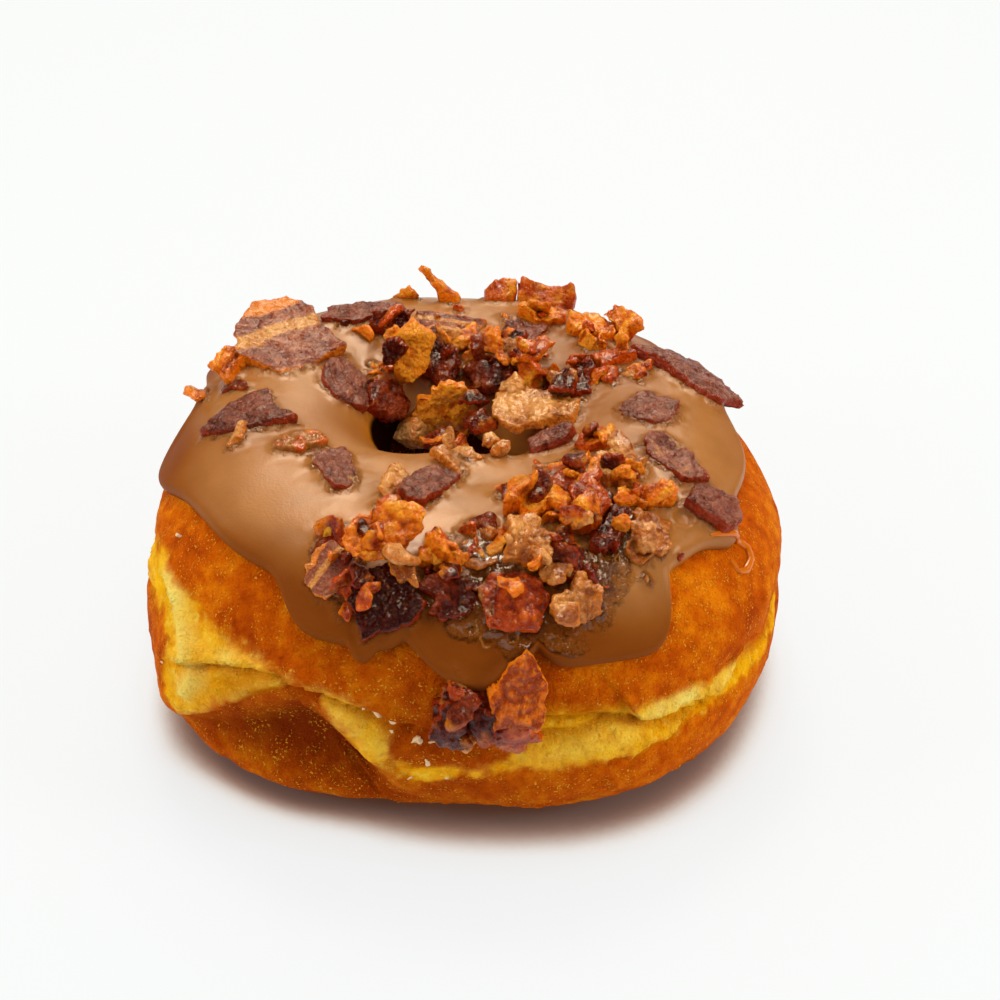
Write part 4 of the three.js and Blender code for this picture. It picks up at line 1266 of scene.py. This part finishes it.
# Bits wedged across the hole, as (kind, x, y, height, half length, width as a share of it)
HOLE_BITS = [
    ("crisp", -3.6, -3.8, 40.2, 3.0, 0.8), ("tan", -1.6, -6.4, 41.2, 2.6, 0.5),
    ("tan", 1.0, -10.6, 42.5, 3.2, 0.45), ("dark", -3.0, 2.0, 37.0, 3.2, 0.8),
    ("red", 0.4, -2.4, 38.0, 2.4, 0.8), ("tan", 5.8, -9.4, 42.4, 2.2, 0.8),
    ("dark", 2.6, 3.0, 39.4, 2.6, 0.8), ("tan", 4.6, -6.4, 41.4, 1.8, 0.7),
    ("dark", 3.4, 0.0, 39.8, 2.4, 0.8), ("dark", 1.8, 6.0, 41.0, 3.0, 0.8),
]
KIND_CHANCES = (0.3, 0.16, 0.27, 0.27)  # of each kind in the heaps
CRUMB_SCALE = 1.3
CRUMB_REACH = 14  # how far off the dough a crumb is dropped from
HOLE_SECTION = 120  # crumbs past it drop straight down
UPWARD = np.array([0.0, 0.0, 1.0])
TILT = {"crisp": 1.3, "tan": 0.8, "red": 1.2, "dark": 0.8}
THICKNESS = {"crisp": 0.58, "tan": 0.9, "red": 0.75, "dark": 0.95}  # half thickness of a crumb
BREAKS = 5  # straight breaks round a crumb
BREAK_SHARPNESS = 7


def on_lower_heap(points):
    """Where the front right heap is drowned in glaze."""
    return hump(points[:, 0] - 13, 13) * hump(points[:, 1] + 37, 9)


def flake(sphere, size, width, thickness, seed):
    """A broken, crinkled chip, thin along Z, from the points of a ball, and how much of it is a crest."""
    draw = np.random.default_rng(seed)
    from_axis = np.hypot(sphere[:, 0], sphere[:, 1]) + 1e-6
    facing = sphere[:, :2] / from_axis[:, None]
    angle = np.arctan2(facing[:, 1], facing[:, 0])
    breaks = np.arange(BREAKS) * 2 * np.pi / BREAKS + draw.uniform(-0.5, 0.5, BREAKS)
    toward = np.maximum(np.cos(angle[:, None] - breaks), 0) / draw.uniform(0.6, 1, BREAKS)
    reach = np.sum(toward**BREAK_SHARPNESS, axis=1) ** (-1 / BREAK_SHARPNESS)
    outline = np.stack([*facing.T, np.zeros(len(sphere))], -1)
    reach = np.clip(reach, 0, 1.25) + 0.14 * noise(outline, 0.5, seed) + 0.08 * noise(outline, 0.2, seed + 1)
    level = facing * (reach * from_axis**0.6)[:, None] * [size, size * width]
    spread = np.stack([*level.T, np.zeros(len(sphere))], -1)
    crest = noise(spread, max(1.1, size * 0.55), seed + 3)
    z = min(thickness, 0.5 * size) * sphere[:, 2]
    z += 0.4 * size * noise(spread, size * 1.2, seed + 2) + 0.12 * size * crest
    local = np.stack([*level.T, z], -1)
    for step, depth in ((1.8, 0.35), (0.8, 0.18)):
        local = local + depth * np.stack([noise(local, step, seed + k) for k in (6, 7, 8)], -1)
    lumps = 0.55 - cells(local, 0.95, seed)
    local = local + 0.27 * unit(sphere * [1, 1, 2.5]) * lumps[:, None]
    return local, crest * np.sign(sphere[:, 2]) + lumps


def tilted(normal, tilt, draw):
    """Axes of a crumb whose thin direction leans from a normal by up to `tilt`."""
    lean = unit(normal + tilt * draw.uniform(-1, 1, 3))
    along = unit(np.cross(lean, draw.uniform(-1, 1, 3)))
    return np.stack([along, np.cross(lean, along), lean])


def wanted_crumbs(draw):
    """Crumbs as (kind, ring, section, half length): those with places of their own, then the heaps."""
    wanted = [(kind, *place, CRUMB_SCALE * size) for kind, spots in CRUMBS.items() for *place, size in spots]
    kinds = list(CRUMBS)
    for ring, section, ring_spread, section_spread, count, smallest, largest in HEAPS:
        for _ in range(count):
            kind = kinds[draw.choice(len(kinds), p=KIND_CHANCES)]
            place = (ring + ring_spread * draw.uniform(-1, 1), section + section_spread * draw.uniform(-1, 1))
            wanted.append((kind, *place, draw.uniform(smallest, largest)))
    return wanted


def placed_crumbs(ground, draw):
    """Crumbs as (kind, place, normal, half length, width): the hole's bits, then what drops on the ground."""
    placed = []
    for kind, *place, size, width in HOLE_BITS:
        placed.append((kind, np.array(place) + BASE_SHIFT, UPWARD, size, width))
    for kind, ring, section, size in wanted_crumbs(draw):
        base, normal = spot_on_dough(ring, section)
        if section > HOLE_SECTION:
            normal = UPWARD
        hit = ground.ray_cast(Vector(base + normal * CRUMB_REACH), Vector(-normal), CRUMB_REACH + 4)[0]
        if hit is not None:
            placed.append((kind, np.array(hit) + normal * 0.2 * size, normal, size, draw.uniform(0.55, 0.9)))
    return placed


def crumb_piece(kind, place, normal, size, width, seed, balls, draw):
    """The points, faces and values of one crumb, with more faces the larger it is."""
    sphere, faces = balls[0 if size < 1.1 else 1 if size < 3.3 else 2]
    local, crest = flake(sphere, size, width, THICKNESS[kind] * draw.uniform(0.7, 1.3), seed)
    points = local @ tilted(normal, TILT[kind], draw) + place
    fat = KINDS[kind]["fat"] + 0.5 * local[:, 1] / (size * width) + 0.4 * noise(points, 1.8, seed + 4)
    return points, faces, {
        "fat": np.clip(fat, 0, 1),
        "rim": 0.8 * smooth(np.hypot(sphere[:, 0], sphere[:, 1]), 0.7, 1),
        # lighter crests on the upper side and darker undersides: painted highlight and shade
        "relief": np.clip(0.5 + 0.5 * crest + 0.25 * noise(points, 0.6, seed + 5), 0, 1),
        "tone": np.full(len(points), draw.uniform(-0.12, 0.12)),
        "grain": local * MM,
    }


def make_crumbs(ground, icing_tree, looks):
    """One mesh of crumbs for each kind, each crumb lying on whatever is under it."""
    draw = np.random.default_rng(11)
    balls = [ball(detail) for detail in (3, 4, 5)]
    gathered = {kind: [] for kind in CRUMBS}
    for seed, (kind, *facts) in enumerate(placed_crumbs(ground, draw), start=200):
        gathered[kind].append(crumb_piece(kind, *facts, seed, balls, draw))
    made = []
    for kind, pieces in gathered.items():
        points, faces, values = joined(pieces)
        height = nearest(icing_tree, points)[0] + 0.7 * noise(points, 1.2, 90) - 0.9 * on_lower_heap(points)
        values["glaze"] = smooth(height, 0.6, 0)
        crumbs = make_object("crumbs_" + kind, points, faces, values)
        made.append(finish_piece(crumbs, looks[kind], "bacon_" + kind))
    return made


# Stage, lights and camera

SHADOW_REACH = 0.010  # how near the floor something has to be to darken it
# The floor glows, a painted light that also lights the dough from below
FLOOR_GLOW = 0.82
# Painted contact shadow: the floor's glow darkens with ambient occlusion near the dough
FLOOR_SHADOW_COLOURS = [  # from under the dough to the open floor
    (0.32, (0.06, 0.018, 0.006)), (0.5, (0.26, 0.10, 0.045)), (0.6, (0.75, 0.65, 0.55)),
    (0.7, (0.89, 0.88, 0.865)), (1, (0.90, 0.92, 0.915)),
]
SKY_COLOUR = (0.965, 0.99, 1.0)
SKY_LOW = 0.66  # brightness of the surroundings near the floor, and overhead
SKY_HIGH = 1.1
FRONT_LOSS = 0.55  # share of it that is lost on the camera's side
KEY_COLOUR = (1.0, 0.94, 0.86)
SHEEN_COLOUR = (1.0, 0.83, 0.6)

# Panels at the sides that don't show in glossy reflections, as (name, power, place)
WINDOWS = [("right_window", 0.95, (0.48, -0.14, 0.26)), ("left_window", 0.75, (-0.48, -0.16, 0.28))]
WINDOW_SIZE = 0.15

# Panels that only show in glossy reflections, as (name, power, size, place)
SHEENS = [
    ("top_panel", 5.0, 0.35, (0.04, 0.42, 0.62)), ("back_panel", 0.9, 0.26, (0.12, 0.75, 0.38)),
    ("over_panel", 2.0, 0.26, (0.1, 0.0, 0.75)), ("left_spark", 0.12, 0.06, (-0.35, 0.35, 0.6)),
    ("right_spark", 0.3, 0.06, (0.3, 0.25, 0.65)), ("front_spark", 0.3, 0.07, (0.08, -0.4, 0.6)),
    ("front_left_spark", 0.2, 0.07, (-0.2, -0.28, 0.65)),
]
CAMERA_ELEVATION = 36
CAMERA_DISTANCE = 0.3
CAMERA_AIM = Vector((BASE_SHIFT[0] * MM, BASE_SHIFT[1] * MM, 0.02))
CAMERA_LENS = 67.8
CAMERA_SHIFT = (0.04, 0.033)


def make_stage():
    bpy.ops.mesh.primitive_plane_add(size=4, location=(0, 0, 0))
    floor = bpy.context.object
    floor.name = "floor"
    look = Look("paper")
    # painted contact shadow: ambient occlusion darkens the floor's glow
    open_sky = look.node("ShaderNodeAmbientOcclusion", {"Distance": SHADOW_REACH}, samples=12).outputs["AO"]
    glow = look.ramp(open_sky, FLOOR_SHADOW_COLOURS)
    floor.data.materials.append(look.set(Base_Color=(0.15, 0.153, 0.153), Roughness=0.9, Emission_Color=glow,
                                         Emission_Strength=FLOOR_GLOW))


def area_light(name, power, size, place, colour=(1, 1, 1)):
    data = bpy.data.lights.new(name, "AREA")
    data.energy = power
    data.size = size
    data.color = colour
    light = bpy.data.objects.new(name, data)
    bpy.context.scene.collection.objects.link(light)
    light.location = place
    light.rotation_euler = (-Vector(place)).to_track_quat("-Z", "Y").to_euler()
    return light


def make_lights():
    world = bpy.data.worlds.new("studio")
    bpy.context.scene.world = world
    world.use_nodes = True
    world.cycles_visibility.glossy = False  # gloss shows the panels alone
    sky = Nodes(world.node_tree)
    generated = sky.node("ShaderNodeTexCoord", {}).outputs["Generated"]
    direction = sky.node("ShaderNodeSeparateXYZ", {0: generated})
    upward = sky.span(direction.outputs["Z"], -0.1, 0.95, SKY_LOW, SKY_HIGH)
    backward = sky.span(direction.outputs["Y"], -0.95, 0.1, 1 - FRONT_LOSS, 1)
    background = world.node_tree.nodes["Background"]
    sky.feed(background.inputs["Color"], SKY_COLOUR)
    sky.feed(background.inputs["Strength"], sky.times(upward, backward))
    area_light("key", 0.8, 0.15, (-0.05, 0.25, 0.6), KEY_COLOUR)
    for name, power, place in WINDOWS:
        area_light(name, power, WINDOW_SIZE, place).visible_glossy = False
    for panel in SHEENS:
        area_light(*panel, SHEEN_COLOUR).visible_diffuse = False


def make_camera():
    data = bpy.data.cameras.new("camera")
    camera = bpy.data.objects.new("camera", data)
    bpy.context.scene.collection.objects.link(camera)
    elevation = math.radians(CAMERA_ELEVATION)
    back = Vector((0, -math.cos(elevation), math.sin(elevation)))
    camera.location = CAMERA_AIM + back * CAMERA_DISTANCE
    camera.rotation_euler = (-back).to_track_quat("-Z", "Y").to_euler()
    data.lens = CAMERA_LENS
    data.sensor_width = 36
    data.shift_x, data.shift_y = CAMERA_SHIFT
    data.clip_start = 0.01
    bpy.context.scene.camera = camera


make_camera()
make_stage()
make_lights()
bpy.context.scene.view_settings.view_transform = "Standard"

make_dough()
icing = Icing()
icing_tree = tree_over([], icing.points(), icing.faces)
looks = {kind: bacon_look(kind) for kind in MEAT}
bacon_nodes = sorted(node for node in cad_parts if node.startswith("bacon"))
rashers = [make_bacon(node, seed, icing_tree, looks) for seed, node in enumerate(bacon_nodes, start=1)]
crumbs = make_crumbs(tree_over(rashers, icing.points(), icing.faces), icing_tree, looks)
make_glaze(make_icing(icing, tree_over(rashers + crumbs)))
